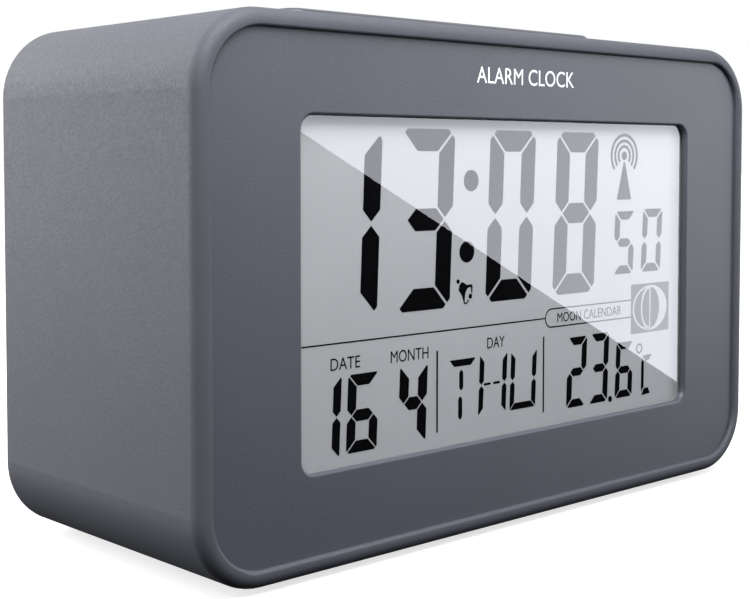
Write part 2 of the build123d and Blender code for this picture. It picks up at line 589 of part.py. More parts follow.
def key_board_group():
    """The board behind the keys, its silicone dome mat and the alarm slide switch."""
    with BuildPart() as board:
        rounded_block((KEY_BOARD_W, KEY_BOARD_H), KEY_BOARD_Y, KEY_BOARD_T, 1.0, centre=(0, PANEL_Z))
        round_bars(1.15, KEY_BOARD_Y - 1, 4, KEY_BOSS_SPOTS, mode=Mode.SUBTRACT)
    save(board, "key_board")
    dome_h = PANEL_BACK_Y - KEY_FLANGE_T - FIT_GAP - KEY_BOARD_BACK_Y - MAT_BASE_T - 0.05
    dome_spots = [(x, PANEL_Z) for x in KEY_X]
    with BuildPart() as mat:
        mat_w = KEY_X[0] - KEY_X[-1] + KEY_W
        centre = ((KEY_X[0] + KEY_X[-1]) / 2, PANEL_Z)
        rounded_block((mat_w, 9.0), KEY_BOARD_BACK_Y, MAT_BASE_T, 1.5, centre=centre)
        with BuildSketch(at_depth(KEY_BOARD_BACK_Y + MAT_BASE_T)):
            with Locations(*dome_spots):
                Circle(DOME_R)
        extrude(amount=backwards(dome_h), taper=25)
    save(mat, "key_mat")
    body_h = 2.6
    with BuildPart() as switch:
        plain_block((10.0, 5.0), KEY_BOARD_BACK_Y, body_h, centre=(SWITCH_X, PANEL_Z))
        slot = (KNOB_W + SWITCH_TRAVEL - 1.0, 2.0)
        plain_block(slot, KEY_BOARD_BACK_Y + 0.8, body_h, centre=(SWITCH_X, PANEL_Z), mode=Mode.SUBTRACT)
    save(switch, "alarm_switch")
    rest_x = SWITCH_X - SWITCH_TRAVEL / 2
    with BuildPart() as knob:
        plain_block((KNOB_W - 1.4, 1.8), KEY_BOARD_BACK_Y + 1.0, 3.0, centre=(rest_x, PANEL_Z))
        knob_l = REAR_Y - 0.5 - PANEL_BACK_Y
        rounded_block((KNOB_W, KNOB_H), PANEL_BACK_Y, knob_l, 0.5, centre=(rest_x, PANEL_Z))
        for dx in (-0.9, 0.0, 0.9):
            groove = (0.35, KNOB_H)
            plain_block(groove, REAR_Y - 0.75, 1, centre=(rest_x + dx, PANEL_Z), mode=Mode.SUBTRACT)
    save(knob, "alarm_switch_knob")


# ---- snooze key ------------------------------------------------------------------------------------------
def snooze_key():
    """The hollow key, with a flange under the top wall, two spring posts and a stem over the switch."""
    flange_z = INNER_TOP_Z - FIT_GAP - SNOOZE_FLANGE_T
    with BuildPart() as key:
        with BuildSketch(Plane.XY.offset(flange_z)):
            RectangleRounded(SNOOZE_W, SNOOZE_D, SNOOZE_R)
        extrude(amount=SNOOZE_TOP_Z - flange_z)
        fillet(key.edges().group_by(Axis.Z)[-1], 0.9)
        with BuildSketch(Plane.XY.offset(flange_z)):
            flange = 2 * SNOOZE_FLANGE
            RectangleRounded(SNOOZE_W + flange, SNOOZE_D + flange, SNOOZE_R + SNOOZE_FLANGE)
        extrude(amount=SNOOZE_FLANGE_T)
        with BuildSketch(Plane.XY.offset(flange_z)):
            RectangleRounded(SNOOZE_W - 2 * SNOOZE_SIDE, SNOOZE_D - 2 * SNOOZE_SIDE, SNOOZE_R - SNOOZE_SIDE)
        hollow = SNOOZE_TOP_Z - SNOOZE_SKIN - flange_z
        extrude(amount=hollow, mode=Mode.SUBTRACT)
        ceiling = Plane.XY.offset(SNOOZE_TOP_Z - SNOOZE_SKIN)
        with BuildSketch(ceiling):
            with Locations((-SPRING_X, 0), (SPRING_X, 0)):
                Circle(1.3)
        extrude(amount=-5.4)
        with BuildSketch(ceiling):
            Circle(2.0)
        extrude(amount=-(SNOOZE_TOP_Z - SNOOZE_SKIN - PLUNGER_TOP_Z))
        with BuildSketch(ceiling):
            Rectangle(SNOOZE_W - 2 * SNOOZE_SIDE - 10, 1.2)
            with Locations((-12, 0), (12, 0)):
                Rectangle(1.2, SNOOZE_D - 2 * SNOOZE_SIDE)
        extrude(amount=-1.6)
    save(key, "snooze_key")


def snooze_switchgear():
    """The snooze board with its push switch and plunger, and the two return springs."""
    underside = SNOOZE_BOARD_TOP_Z - SNOOZE_BOARD_T
    with BuildPart() as board:
        with BuildSketch(Plane.XY.offset(underside)):
            RectangleRounded(SNOOZE_BOARD_W, SNOOZE_BOARD_D, 1.5)
            with Locations((-SNOOZE_BOSS_X, 0), (SNOOZE_BOSS_X, 0)):
                Circle(1.3, mode=Mode.SUBTRACT)
        extrude(amount=SNOOZE_BOARD_T)
    save(board, "snooze_board")
    with BuildPart() as switch:
        with BuildSketch(Plane.XY.offset(SNOOZE_BOARD_TOP_Z)):
            Rectangle(SWITCH_SIDE, SWITCH_SIDE)
        extrude(amount=SWITCH_BODY_H)
        chamfer(switch.edges().filter_by(Axis.Z), 0.4)
        with BuildSketch(Plane.XY.offset(SNOOZE_BOARD_TOP_Z + 0.2)):
            Circle(PLUNGER_R + 0.1)
        extrude(amount=SWITCH_BODY_H, mode=Mode.SUBTRACT)
    save(switch, "snooze_switch")
    with BuildPart() as plunger:
        with BuildSketch(Plane.XY.offset(SNOOZE_BOARD_TOP_Z + 1.4)):
            Circle(PLUNGER_R)
        extrude(amount=PLUNGER_TOP_Z - SNOOZE_BOARD_TOP_Z - 1.4)
    save(plunger, "snooze_plunger")
    wire, turns = 0.25, 5
    height = SNOOZE_TOP_Z - SNOOZE_SKIN - 1.6 - SNOOZE_BOARD_TOP_Z - 2 * wire - 0.04
    for name, x in (("snooze_spring_left", -SPRING_X), ("snooze_spring_right", SPRING_X)):
        with BuildPart() as spring:
            with BuildLine() as path:
                Helix(height / turns, height, 2.1, center=(x, 0, SNOOZE_BOARD_TOP_Z + wire + 0.02))
            with BuildSketch(Plane(origin=path.line @ 0, z_dir=path.line % 0)):
                Circle(wire)
            sweep(path=path.line, is_frenet=True)
        save(spring, name)
    with BuildPart() as screws:
        with BuildSketch(Plane.XY.offset(underside)):
            with Locations((-SNOOZE_BOSS_X, 0), (SNOOZE_BOSS_X, 0)):
                Circle(2.2)
        extrude(amount=-1.5)
        fillet(screws.edges().group_by(Axis.Z)[0], 0.6)
        with BuildSketch(Plane.XY.offset(underside)):
            with Locations((-SNOOZE_BOSS_X, 0), (SNOOZE_BOSS_X, 0)):
                Circle(1.0)
        extrude(amount=5)
        with BuildSketch(Plane.XY.offset(underside - 1.5)):
            with Locations((-SNOOZE_BOSS_X, 0), (SNOOZE_BOSS_X, 0)):
                Rectangle(2.4, 0.6)
                Rectangle(0.6, 2.4)
        extrude(amount=0.9, mode=Mode.SUBTRACT)
    save(screws, "snooze_board_screws")


# ---- wiring ----------------------------------------------------------------------------------------------
def corner_radii(points, most=0.45):
    """The radius at each inner corner of a route, from most of the shorter run and half the turn."""
    radii = []
    for before, here, after in zip(points, points[1:], points[2:]):
        run_in, run_out = Vector(*here) - Vector(*before), Vector(*after) - Vector(*here)
        half_turn = radians(run_in.get_angle(run_out)) / 2
        radii.append(most * min(run_in.length, run_out.length) / tan(half_turn))
    return radii


def lead(points, radius):
    """Adds one round wire along a route. Call it inside a BuildPart."""
    radii = corner_radii(points)
    with BuildLine() as path:
        FilletPolyline(*points, radius=radii)
    with BuildSketch(Plane(origin=path.line @ 0, z_dir=path.line % 0)) as section:
        Circle(radius)
    sweep(section.sketch, path=path.line)
    print("  wire length", round(path.wires()[0].length, 1), "radii", [round(r, 1) for r in radii])


def wiring():
    """Leads from the battery contacts, buzzer, snooze board and aerial, and the key board's flat cable."""
    end = BAY_L / 2 + BAY_WALL + 2.2
    on_board = BOARD_BACK_Y
    with BuildPart() as battery_leads:
        for z, x, drop in ((BAY_Z + CELL_DZ, 42.0, 38.0), (BAY_Z - CELL_DZ, 40.0, 16.0)):
            route = [
                (end - 1, TAB_Y - 0.85, z),
                (end - 1, TAB_Y - 7, z),
                (end + 3, 1.0, z + 1),
                (x, -6.0, drop),
                (x, on_board, drop),
            ]
            lead(route, 0.6)
    save(battery_leads, "battery_leads")
    with BuildPart() as buzzer_leads:
        for dz in (-2.5, 2.5):
            z = BUZZER_Z + dz
            disc_y = COVER_Y - 2.85
            route = [
                (BUZZER_X, disc_y, z),
                (BUZZER_X, disc_y - 6, z),
                (BUZZER_X + 4, 4.0, z + 2),
                (BUZZER_X + 2, -6, z + 1),
                (BUZZER_X + 2, on_board, z + 1),
            ]
            lead(route, 0.5)
    save(buzzer_leads, "buzzer_leads")
    with BuildPart() as snooze_leads:
        for x in (34.0, 36.5):
            under = SNOOZE_BOARD_TOP_Z - SNOOZE_BOARD_T
            low = under - 9
            route = [(x, -3.0, under), (x, -3.0, under - 4), (x, -7.5, low), (x, on_board, low)]
            lead(route, 0.5)
    save(snooze_leads, "snooze_leads")
    with BuildPart() as antenna_leads:
        for z, start in ((50.0, COIL_L / 2 - 4), (54.0, COIL_L / 2 - 1)):
            face = BOARD_BACK_Y + 3.5
            route = [
                (start, ROD_Y - COIL_R, ROD_Z),
                (start, ROD_Y - COIL_R - 5, ROD_Z - 3),
                (start + 16, -7.0, z),
                (34, face + 3, z),
                (34, face, z),
            ]
            lead(route, 0.3)
    save(antenna_leads, "antenna_leads")
    with BuildPart() as cable:
        with BuildSketch(Plane.YZ.offset(-3)):
            with BuildLine():
                centre_line = FilletPolyline(
                    (KEY_BOARD_Y, 53.0),
                    (KEY_BOARD_Y - 4, 53.0),
                    (9.0, 46.5),
                    (-4.0, 46.0),
                    (-9.0, 49.0),
                    (on_board, 49.0),
                    radius=1.5,
                )
            trace(centre_line, line_width=0.6)
        extrude(amount=9)
    save(cable, "key_cable")


def build_all():
    """Builds and writes every piece."""
    os.makedirs("parts", exist_ok=True)
    case_sleeve()
    feet()
    front_bezel()
    back_cover()
    cross_screws("case_screws", SCREW_SPOTS, POST_MEET_Y + 2, 1, 2.5, 2.0, 1.27, 13.5)
    cross_screws("main_board_screws", ear_spots(), BOARD_BACK_Y, 1, 2.2, 1.6, 0.97, 7.0)
    cross_screws("key_board_screws", KEY_BOSS_SPOTS, KEY_BOARD_Y, -1, 2.0, 1.4, 0.87, 4.6)
    display_stack()
    backlight()
    lcd_holder()
    contact_strips()
    main_board()
    board_parts()
    aerial()
    buzzer()
    cells()
    contacts()
    battery_door()
    rear_keys()
    key_board_group()
    snooze_key()
    snooze_switchgear()
    wiring()


build_all()
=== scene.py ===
"""Looks of a small free-standing digital alarm clock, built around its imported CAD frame.

Every length that a class holds is in millimetres in the frame's own axes: +X to the right as seen from the
front, the display faces -Y, +Z up. Meshes are made in metres.
"""

import logging
import math
from collections.abc import Iterable, Sequence
from dataclasses import dataclass, field
from enum import Enum

import bmesh
import bpy
from mathutils import Matrix, Vector


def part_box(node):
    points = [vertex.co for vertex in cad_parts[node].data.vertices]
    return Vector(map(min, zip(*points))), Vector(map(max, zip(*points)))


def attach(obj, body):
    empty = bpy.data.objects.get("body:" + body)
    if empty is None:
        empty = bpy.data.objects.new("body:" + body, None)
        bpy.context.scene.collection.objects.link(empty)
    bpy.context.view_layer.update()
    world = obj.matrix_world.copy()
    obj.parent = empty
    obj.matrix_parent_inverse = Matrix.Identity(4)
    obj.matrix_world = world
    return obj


LOG = logging.getLogger("alarm_clock")
MM = 0.001
INK_THICKNESS = 0.016
INK_LIFT = 0.004

Point = tuple[float, float]
Colour = tuple[float, float, float]
Socket = bpy.types.NodeSocket
Material = bpy.types.Material
Shape = bmesh.types.BMesh

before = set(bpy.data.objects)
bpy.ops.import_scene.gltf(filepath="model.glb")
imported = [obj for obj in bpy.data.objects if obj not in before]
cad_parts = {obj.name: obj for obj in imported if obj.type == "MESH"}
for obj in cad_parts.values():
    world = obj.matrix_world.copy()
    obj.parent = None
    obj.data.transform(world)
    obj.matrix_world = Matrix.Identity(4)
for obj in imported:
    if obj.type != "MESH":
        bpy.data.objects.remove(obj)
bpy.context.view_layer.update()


# ---- shader building -----------------------------------------------------------------------------
def opaque(colour: Colour) -> tuple[float, float, float, float]:
    """Adds a full alpha to a colour."""
    return (*colour, 1.0)


class ShaderSheet:
    """One material's node tree, with short ways to add and join its nodes."""

    def __init__(self, name: str) -> None:
        """Starts an empty node material.

        Args:
            name: The material's name.
        """
        self.material = bpy.data.materials.new(name)
        self.material.use_nodes = True
        self.tree = self.material.node_tree
        self.tree.nodes.clear()
        self.output = self.tree.nodes.new("ShaderNodeOutputMaterial")
        self.coordinates = self.tree.nodes.new("ShaderNodeTexCoord")

    def node(
        self, kind: str, values: dict[str | int, object] | None = None, **settings: object
    ) -> bpy.types.Node:
        """Adds a node.

        Args:
            kind: The node's type without its "ShaderNode" beginning.
            values: Input values, or sockets to link from, by input name or number.
            **settings: Properties of the node itself.

        Returns:
            The new node.
        """
        made = self.tree.nodes.new("ShaderNode" + kind)
        for key, value in settings.items():
            setattr(made, key, value)
        for key, value in (values or {}).items():
            if isinstance(value, Socket):
                self.tree.links.new(value, made.inputs[key])
            else:
                made.inputs[key].default_value = value
        return made

    def place(self, grain: float) -> Socket:
        """Object coordinates, scaled so that a pattern of scale 1 has features of about one grain.

        Args:
            grain: Feature size in millimetres.

        Returns:
            The vector socket.
        """
        share = 1 / (grain * MM)
        values = {"Vector": self.coordinates.outputs["Object"], "Scale": (share, share, share)}
        return self.node("Mapping", values).outputs["Vector"]

    def noise(self, grain: float, detail: float = 3.0, roughness: float = 0.5) -> Socket:
        """A noise pattern from 0 to 1 with features of about grain millimetres."""
        values = {"Vector": self.place(grain), "Scale": 1.0, "Detail": detail, "Roughness": roughness}
        return self.node("TexNoise", values).outputs["Fac"]

    def span(
        self, source: Socket, low: float, high: float, start: float = 0.0, end: float = 1.0
    ) -> Socket:
        """Maps start..end of a value to low..high, held at both ends, and returns the socket."""
        values = {"Value": source, "From Min": start, "From Max": end, "To Min": low, "To Max": high}
        return self.node("MapRange", values).outputs["Result"]

    def sums(self, operation: str, first: object, second: object) -> Socket:
        """The result of one Math node on two values or sockets."""
        return self.node("Math", {0: first, 1: second}, operation=operation).outputs["Value"]

    def blend(self, share: object, first: object, second: object) -> Socket:
        """Mixes two colours.

        Args:
            share: How much of the second colour shows, as a value or a socket.
            first: The first colour, or its socket.
            second: The second colour, or its socket.

        Returns:
            The mixed colour's socket.
        """
        mix = self.node("Mix", data_type="RGBA")
        for number, value in ((0, share), (6, first), (7, second)):
            if isinstance(value, Socket):
                self.tree.links.new(value, mix.inputs[number])
            else:
                mix.inputs[number].default_value = value
        return mix.outputs[2]

    def edges(self, radius: float) -> Socket:
        """How sharply the surface turns, from 0 on a flat to about 1 at an edge.

        Args:
            radius: How far from an edge it still counts, in millimetres.

        Returns:
            The mask's socket.
        """
        rounded = self.node("Bevel", {"Radius": radius * MM}, samples=4).outputs["Normal"]
        normal = self.node("NewGeometry").outputs["Normal"]
        dot = self.node("VectorMath", {0: rounded, 1: normal}, operation="DOT_PRODUCT").outputs["Value"]
        return self.span(dot, 1.0, 0.0, start=0.80, end=0.995)

    def bump(self, height: Socket, depth: float, base: Socket | None = None) -> Socket:
        """Turns a height into a normal.

        Args:
            height: The height's socket, from 0 to 1.
            depth: What a height of 1 stands for, in millimetres.
            base: A normal to build on.

        Returns:
            The normal's socket.
        """
        values: dict[str | int, object] = {"Height": height, "Distance": depth * MM, "Strength": 1.0}
        if base is not None:
            values["Normal"] = base
        return self.node("Bump", values).outputs["Normal"]

    def surface(self, values: dict[str | int, object]) -> Material:
        """Ends the tree with one Principled shader.

        Args:
            values: The shader's input values or the sockets that feed them, by input name.

        Returns:
            The material.
        """
        shader = self.node("BsdfPrincipled", values)
        self.tree.links.new(shader.outputs["BSDF"], self.output.inputs["Surface"])
        return self.material


# ---- finishes ------------------------------------------------------------------------------------
@dataclass(frozen=True)
class GrainedPlastic:
    """Injection-moulded plastic with a fine spark-eroded grain, slightly polished on its edges, which carry
    a painted highlight.
    """

    name: str
    colour: Colour
    gloss_roughness: float = 0.46
    grain: float = 0.42
    depth: float = 0.022
    # How far the edges' colour is lightened toward a paler slate: a painted highlight.
    painted_edge_highlight: float = 0.16

    def material(self) -> Material:
        """Builds the material.

        Returns:
            A Principled material with mottled colour, varied roughness, a two-size grain and a painted
            highlight on its edges.
        """
        sheet = ShaderSheet(self.name)
        pebbles = sheet.noise(self.grain, detail=2.0, roughness=0.55)
        fine = sheet.noise(self.grain * 0.38, detail=2.0, roughness=0.6)
        clouds = sheet.noise(18.0, detail=3.0)
        drift = sheet.span(clouds, 0.0, 1.0, 0.35, 0.65)
        tint = sheet.blend(drift, opaque(self.shade(0.965)), opaque(self.shade(1.03)))
        tint = sheet.blend(sheet.span(pebbles, 0.0, 0.16, 0.42, 0.7), tint, opaque(self.shade(1.22)))
        # Edges get lower roughness for their polish, and a lighter colour as a painted highlight.
        rim = sheet.edges(0.45)
        tint = sheet.blend(sheet.sums("MULTIPLY", rim, self.painted_edge_highlight), tint, opaque(self.shade(1.7)))
        rough = sheet.span(pebbles, self.gloss_roughness - 0.05, self.gloss_roughness + 0.08, 0.35, 0.65)
        rough = sheet.sums("SUBTRACT", rough, sheet.sums("MULTIPLY", rim, 0.09))
        normal = sheet.bump(fine, self.depth * 0.45, sheet.bump(pebbles, self.depth))
        return sheet.surface({"Base Color": tint, "Roughness": rough, "Normal": normal})

    def shade(self, share: float) -> Colour:
        """The colour, made lighter or darker."""
        red, green, blue = (min(1.0, c * share) for c in self.colour)
        return red, green, blue


@dataclass(frozen=True)
class SmoothPlastic:
    """Plain moulded plastic or resin, nearly smooth, with faint flow marks."""

    name: str
    colour: Colour
    gloss_roughness: float = 0.35

    def material(self) -> Material:
        """Builds the material.

        Returns:
            The material.
        """
        sheet = ShaderSheet(self.name)
        flow = sheet.noise(6.0, detail=4.0)
        fine = sheet.noise(0.25, detail=2.0)
        darker = tuple(c * 0.9 for c in self.colour)
        tint = sheet.blend(sheet.span(flow, 0.0, 1.0, 0.35, 0.65), opaque(darker), opaque(self.colour))
        rough = sheet.span(flow, self.gloss_roughness - 0.04, self.gloss_roughness + 0.06)
        return sheet.surface({"Base Color": tint, "Roughness": rough, "Normal": sheet.bump(fine, 0.004)})


@dataclass(frozen=True)
class SoftRubber:
    """Matt rubber or silicone with dust-fine grain."""

    name: str
    colour: Colour
    gloss_roughness: float = 0.75

    def material(self) -> Material:
        """Builds the material.

        Returns:
            The material.
        """
        sheet = ShaderSheet(self.name)
        dust = sheet.noise(1.6, detail=5.0, roughness=0.65)
        fine = sheet.noise(0.18, detail=2.0)
        paler = tuple(min(1.0, c * 1.5 + 0.01) for c in self.colour)
        tint = sheet.blend(sheet.span(dust, 0.0, 0.35, 0.5, 0.75), opaque(self.colour), opaque(paler))
        rough = sheet.span(dust, self.gloss_roughness - 0.08, self.gloss_roughness + 0.1)
        return sheet.surface({"Base Color": tint, "Roughness": rough, "Normal": sheet.bump(fine, 0.012)})


@dataclass(frozen=True)
class PlatedMetal:
    """Plated or drawn metal with fine streaks and a few dull patches."""

    name: str
    colour: Colour
    gloss_roughness: float = 0.24
    streak: float = 0.12

    def material(self) -> Material:
        """Builds the material.

        Returns:
            The material.
        """
        sheet = ShaderSheet(self.name)
        share = 1 / (self.streak * MM)
        along = share * 0.06
        stretched = {"Vector": sheet.coordinates.outputs["Object"], "Scale": (along, along, share)}
        place = sheet.node("Mapping", stretched).outputs["Vector"]
        lines = sheet.node("TexNoise", {"Vector": place, "Detail": 3.0})
        patches = sheet.noise(2.4, detail=4.0)
        duller = tuple(c * 0.72 for c in self.colour)
        tint = sheet.blend(sheet.span(patches, 0.0, 0.8, 0.5, 0.72), opaque(self.colour), opaque(duller))
        rough = sheet.span(lines.outputs["Fac"], self.gloss_roughness - 0.07, self.gloss_roughness + 0.1)
        normal = sheet.bump(lines.outputs["Fac"], 0.003)
        return sheet.surface({"Base Color": tint, "Metallic": 1.0, "Roughness": rough, "Normal": normal})


@dataclass(frozen=True)
class CircuitBoard:
    """Green solder mask over copper tracks on a glass-fibre board."""

    name: str
    mask: Colour = (0.012, 0.075, 0.03)
    track: Colour = (0.03, 0.15, 0.055)

    def material(self) -> Material:
        """Builds the material.

        Returns:
            The material.
        """
        sheet = ShaderSheet(self.name)
        cells = {"Vector": sheet.place(2.6), "Scale": 1.0, "Randomness": 0.35}
        grid = sheet.node("TexVoronoi", cells, feature="DISTANCE_TO_EDGE", distance="MANHATTAN")
        lines = sheet.span(grid.outputs["Distance"], 1.0, 0.0, 0.05, 0.09)
        weave = sheet.noise(0.5, detail=1.0)
        tint = sheet.blend(sheet.sums("MULTIPLY", lines, 0.8), opaque(self.mask), opaque(self.track))
        normal = sheet.bump(weave, 0.004, sheet.bump(lines, 0.02))
        rough = sheet.span(weave, 0.22, 0.34)
        return sheet.surface({"Base Color": tint, "Roughness": rough, "Normal": normal})


@dataclass(frozen=True)
class WoundWire:
    """Fine enamelled wire, wound side by side along X."""

    name: str
    colour: Colour
    pitch: float = 0.35

    def material(self) -> Material:
        """Builds the material.

        Returns:
            The material.
        """
        sheet = ShaderSheet(self.name)
        wave = {"Vector": sheet.place(self.pitch), "Scale": 0.5, "Distortion": 0.4, "Detail": 1.0}
        turns = sheet.node("TexWave", wave, bands_direction="X").outputs["Fac"]
        darker = tuple(c * 0.45 for c in self.colour)
        tint = sheet.blend(turns, opaque(darker), opaque(self.colour))
        normal = sheet.bump(turns, 0.06)
        return sheet.surface({"Base Color": tint, "Metallic": 0.8, "Roughness": 0.28, "Normal": normal})


@dataclass(frozen=True)
class CellWrap:
    """A plain two-colour film sleeve round a dry cell, split across X at a given place."""

    name: str
    body: Colour
    band: Colour
    split: float
    towards: int

    def material(self) -> Material:
        """Builds the material.

        Returns:
            The material.
        """
        sheet = ShaderSheet(self.name)
        along = sheet.node("SeparateXYZ", {"Vector": sheet.coordinates.outputs["Object"]}).outputs["X"]
        side = sheet.span(along, 0.0, 1.0, (self.split - 0.05) * MM, (self.split + 0.05) * MM)
        first, second = (self.body, self.band) if self.towards > 0 else (self.band, self.body)
        scuffs = sheet.noise(1.2, detail=5.0)
        tint = sheet.blend(side, opaque(first), opaque(second))
        tint = sheet.blend(sheet.span(scuffs, 0.0, 0.12, 0.55, 0.7), tint, (0.6, 0.6, 0.6, 1.0))
        rough = sheet.span(scuffs, 0.18, 0.34)
        normal = sheet.bump(scuffs, 0.01)
        return sheet.surface({"Base Color": tint, "Roughness": rough, "Metallic": 0.25, "Normal": normal})


@dataclass(frozen=True)
class ClearPane:
    """A thin clear polished window: it passes light straight on and mirrors some of it."""

    name: str
    mirror_share: float = 2.3

    def material(self) -> Material:
        """Builds the material.

        Returns:
            The material.
        """
        sheet = ShaderSheet(self.name)
        fresnel = sheet.node("Fresnel", {"IOR": 1.49}).outputs["Fac"]
        inside = sheet.node("NewGeometry").outputs["Backfacing"]
        outside = sheet.sums("SUBTRACT", 1.0, inside)
        share = sheet.sums("MULTIPLY", sheet.sums("MULTIPLY", fresnel, outside), self.mirror_share)
        flow = sheet.noise(9.0, detail=2.0)
        tint = sheet.blend(flow, (0.975, 0.982, 0.98, 1.0), (0.99, 0.993, 0.993, 1.0))
        clear = sheet.node("BsdfTransparent", {"Color": tint}).outputs["BSDF"]
        mirror = sheet.node("BsdfGlossy", {"Roughness": 0.0}).outputs["BSDF"]
        both = sheet.node("MixShader", {0: share, 1: clear, 2: mirror}).outputs["Shader"]
        sheet.tree.links.new(both, sheet.output.inputs["Surface"])
        return sheet.material


@dataclass(frozen=True)
class DisplayFilm:
    """The pale grey of a liquid crystal cell seen through its film, a little darker towards one corner."""

    name: str
    pale: Colour
    dark: Colour

    def material(self) -> Material:
        """Builds the material.

        Returns:
            The material.
        """
        sheet = ShaderSheet(self.name)
        place = sheet.node("SeparateXYZ", {"Vector": sheet.coordinates.outputs["Object"]})
        across = sheet.span(place.outputs["X"], 0.0, 0.6, -0.047, 0.047)
        up = sheet.span(place.outputs["Z"], 0.0, 0.4, 0.015, 0.067)
        tint = sheet.blend(sheet.sums("ADD", across, up), opaque(self.dark), opaque(self.pale))
        haze = sheet.noise(14.0, detail=3.0)
        tint = sheet.blend(sheet.span(haze, 0.0, 0.12, 0.4, 0.7), tint, opaque(self.pale))
        frost = sheet.noise(0.12, detail=1.0)
        rough = sheet.span(frost, 0.38, 0.5)
        return sheet.surface({"Base Color": tint, "Roughness": rough, "Specular IOR Level": 0.2})


@dataclass(frozen=True)
class FlatInk:
    """Printed ink, or a switched-on display area: even, with a trace of print grain."""

    name: str
    colour: Colour
    gloss_roughness: float = 0.5

    def material(self) -> Material:
        """Builds the material.

        Returns:
            The material.
        """
        sheet = ShaderSheet(self.name)
        speckle = sheet.noise(0.1, detail=2.0)
        paler = tuple(min(1.0, c * 1.12 + 0.001) for c in self.colour)
        tint = sheet.blend(sheet.span(speckle, 0.0, 1.0, 0.4, 0.7), opaque(self.colour), opaque(paler))
        rough = sheet.span(speckle, self.gloss_roughness - 0.05, self.gloss_roughness + 0.05)
        return sheet.surface({"Base Color": tint, "Roughness": rough, "Specular IOR Level": 0.0})


# ---- mesh building -------------------------------------------------------------------------------
def dress(nodes: str | Iterable[str], material: Material) -> None:
    """Gives CAD nodes their material.

    Args:
        nodes: One node's name, or several.
        material: The finish for all of them.
    """
    for name in [nodes] if isinstance(nodes, str) else nodes:
        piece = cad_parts[name]
        if not piece.material_slots:
            piece.data.materials.append(material)
        for material_slot in piece.material_slots:
            material_slot.material = material
        LOG.info("dressed %s in %s", name, material.name)


def spot(centre: Point, across: float = 1.0, up: float = 1.0) -> Matrix:
    """A place on a drawing, with a stretch along each of its axes."""
    place = Matrix.Translation((centre[0] * MM, centre[1] * MM, 0.0))
    return place @ Matrix.Diagonal((across, up, 1.0, 1.0))


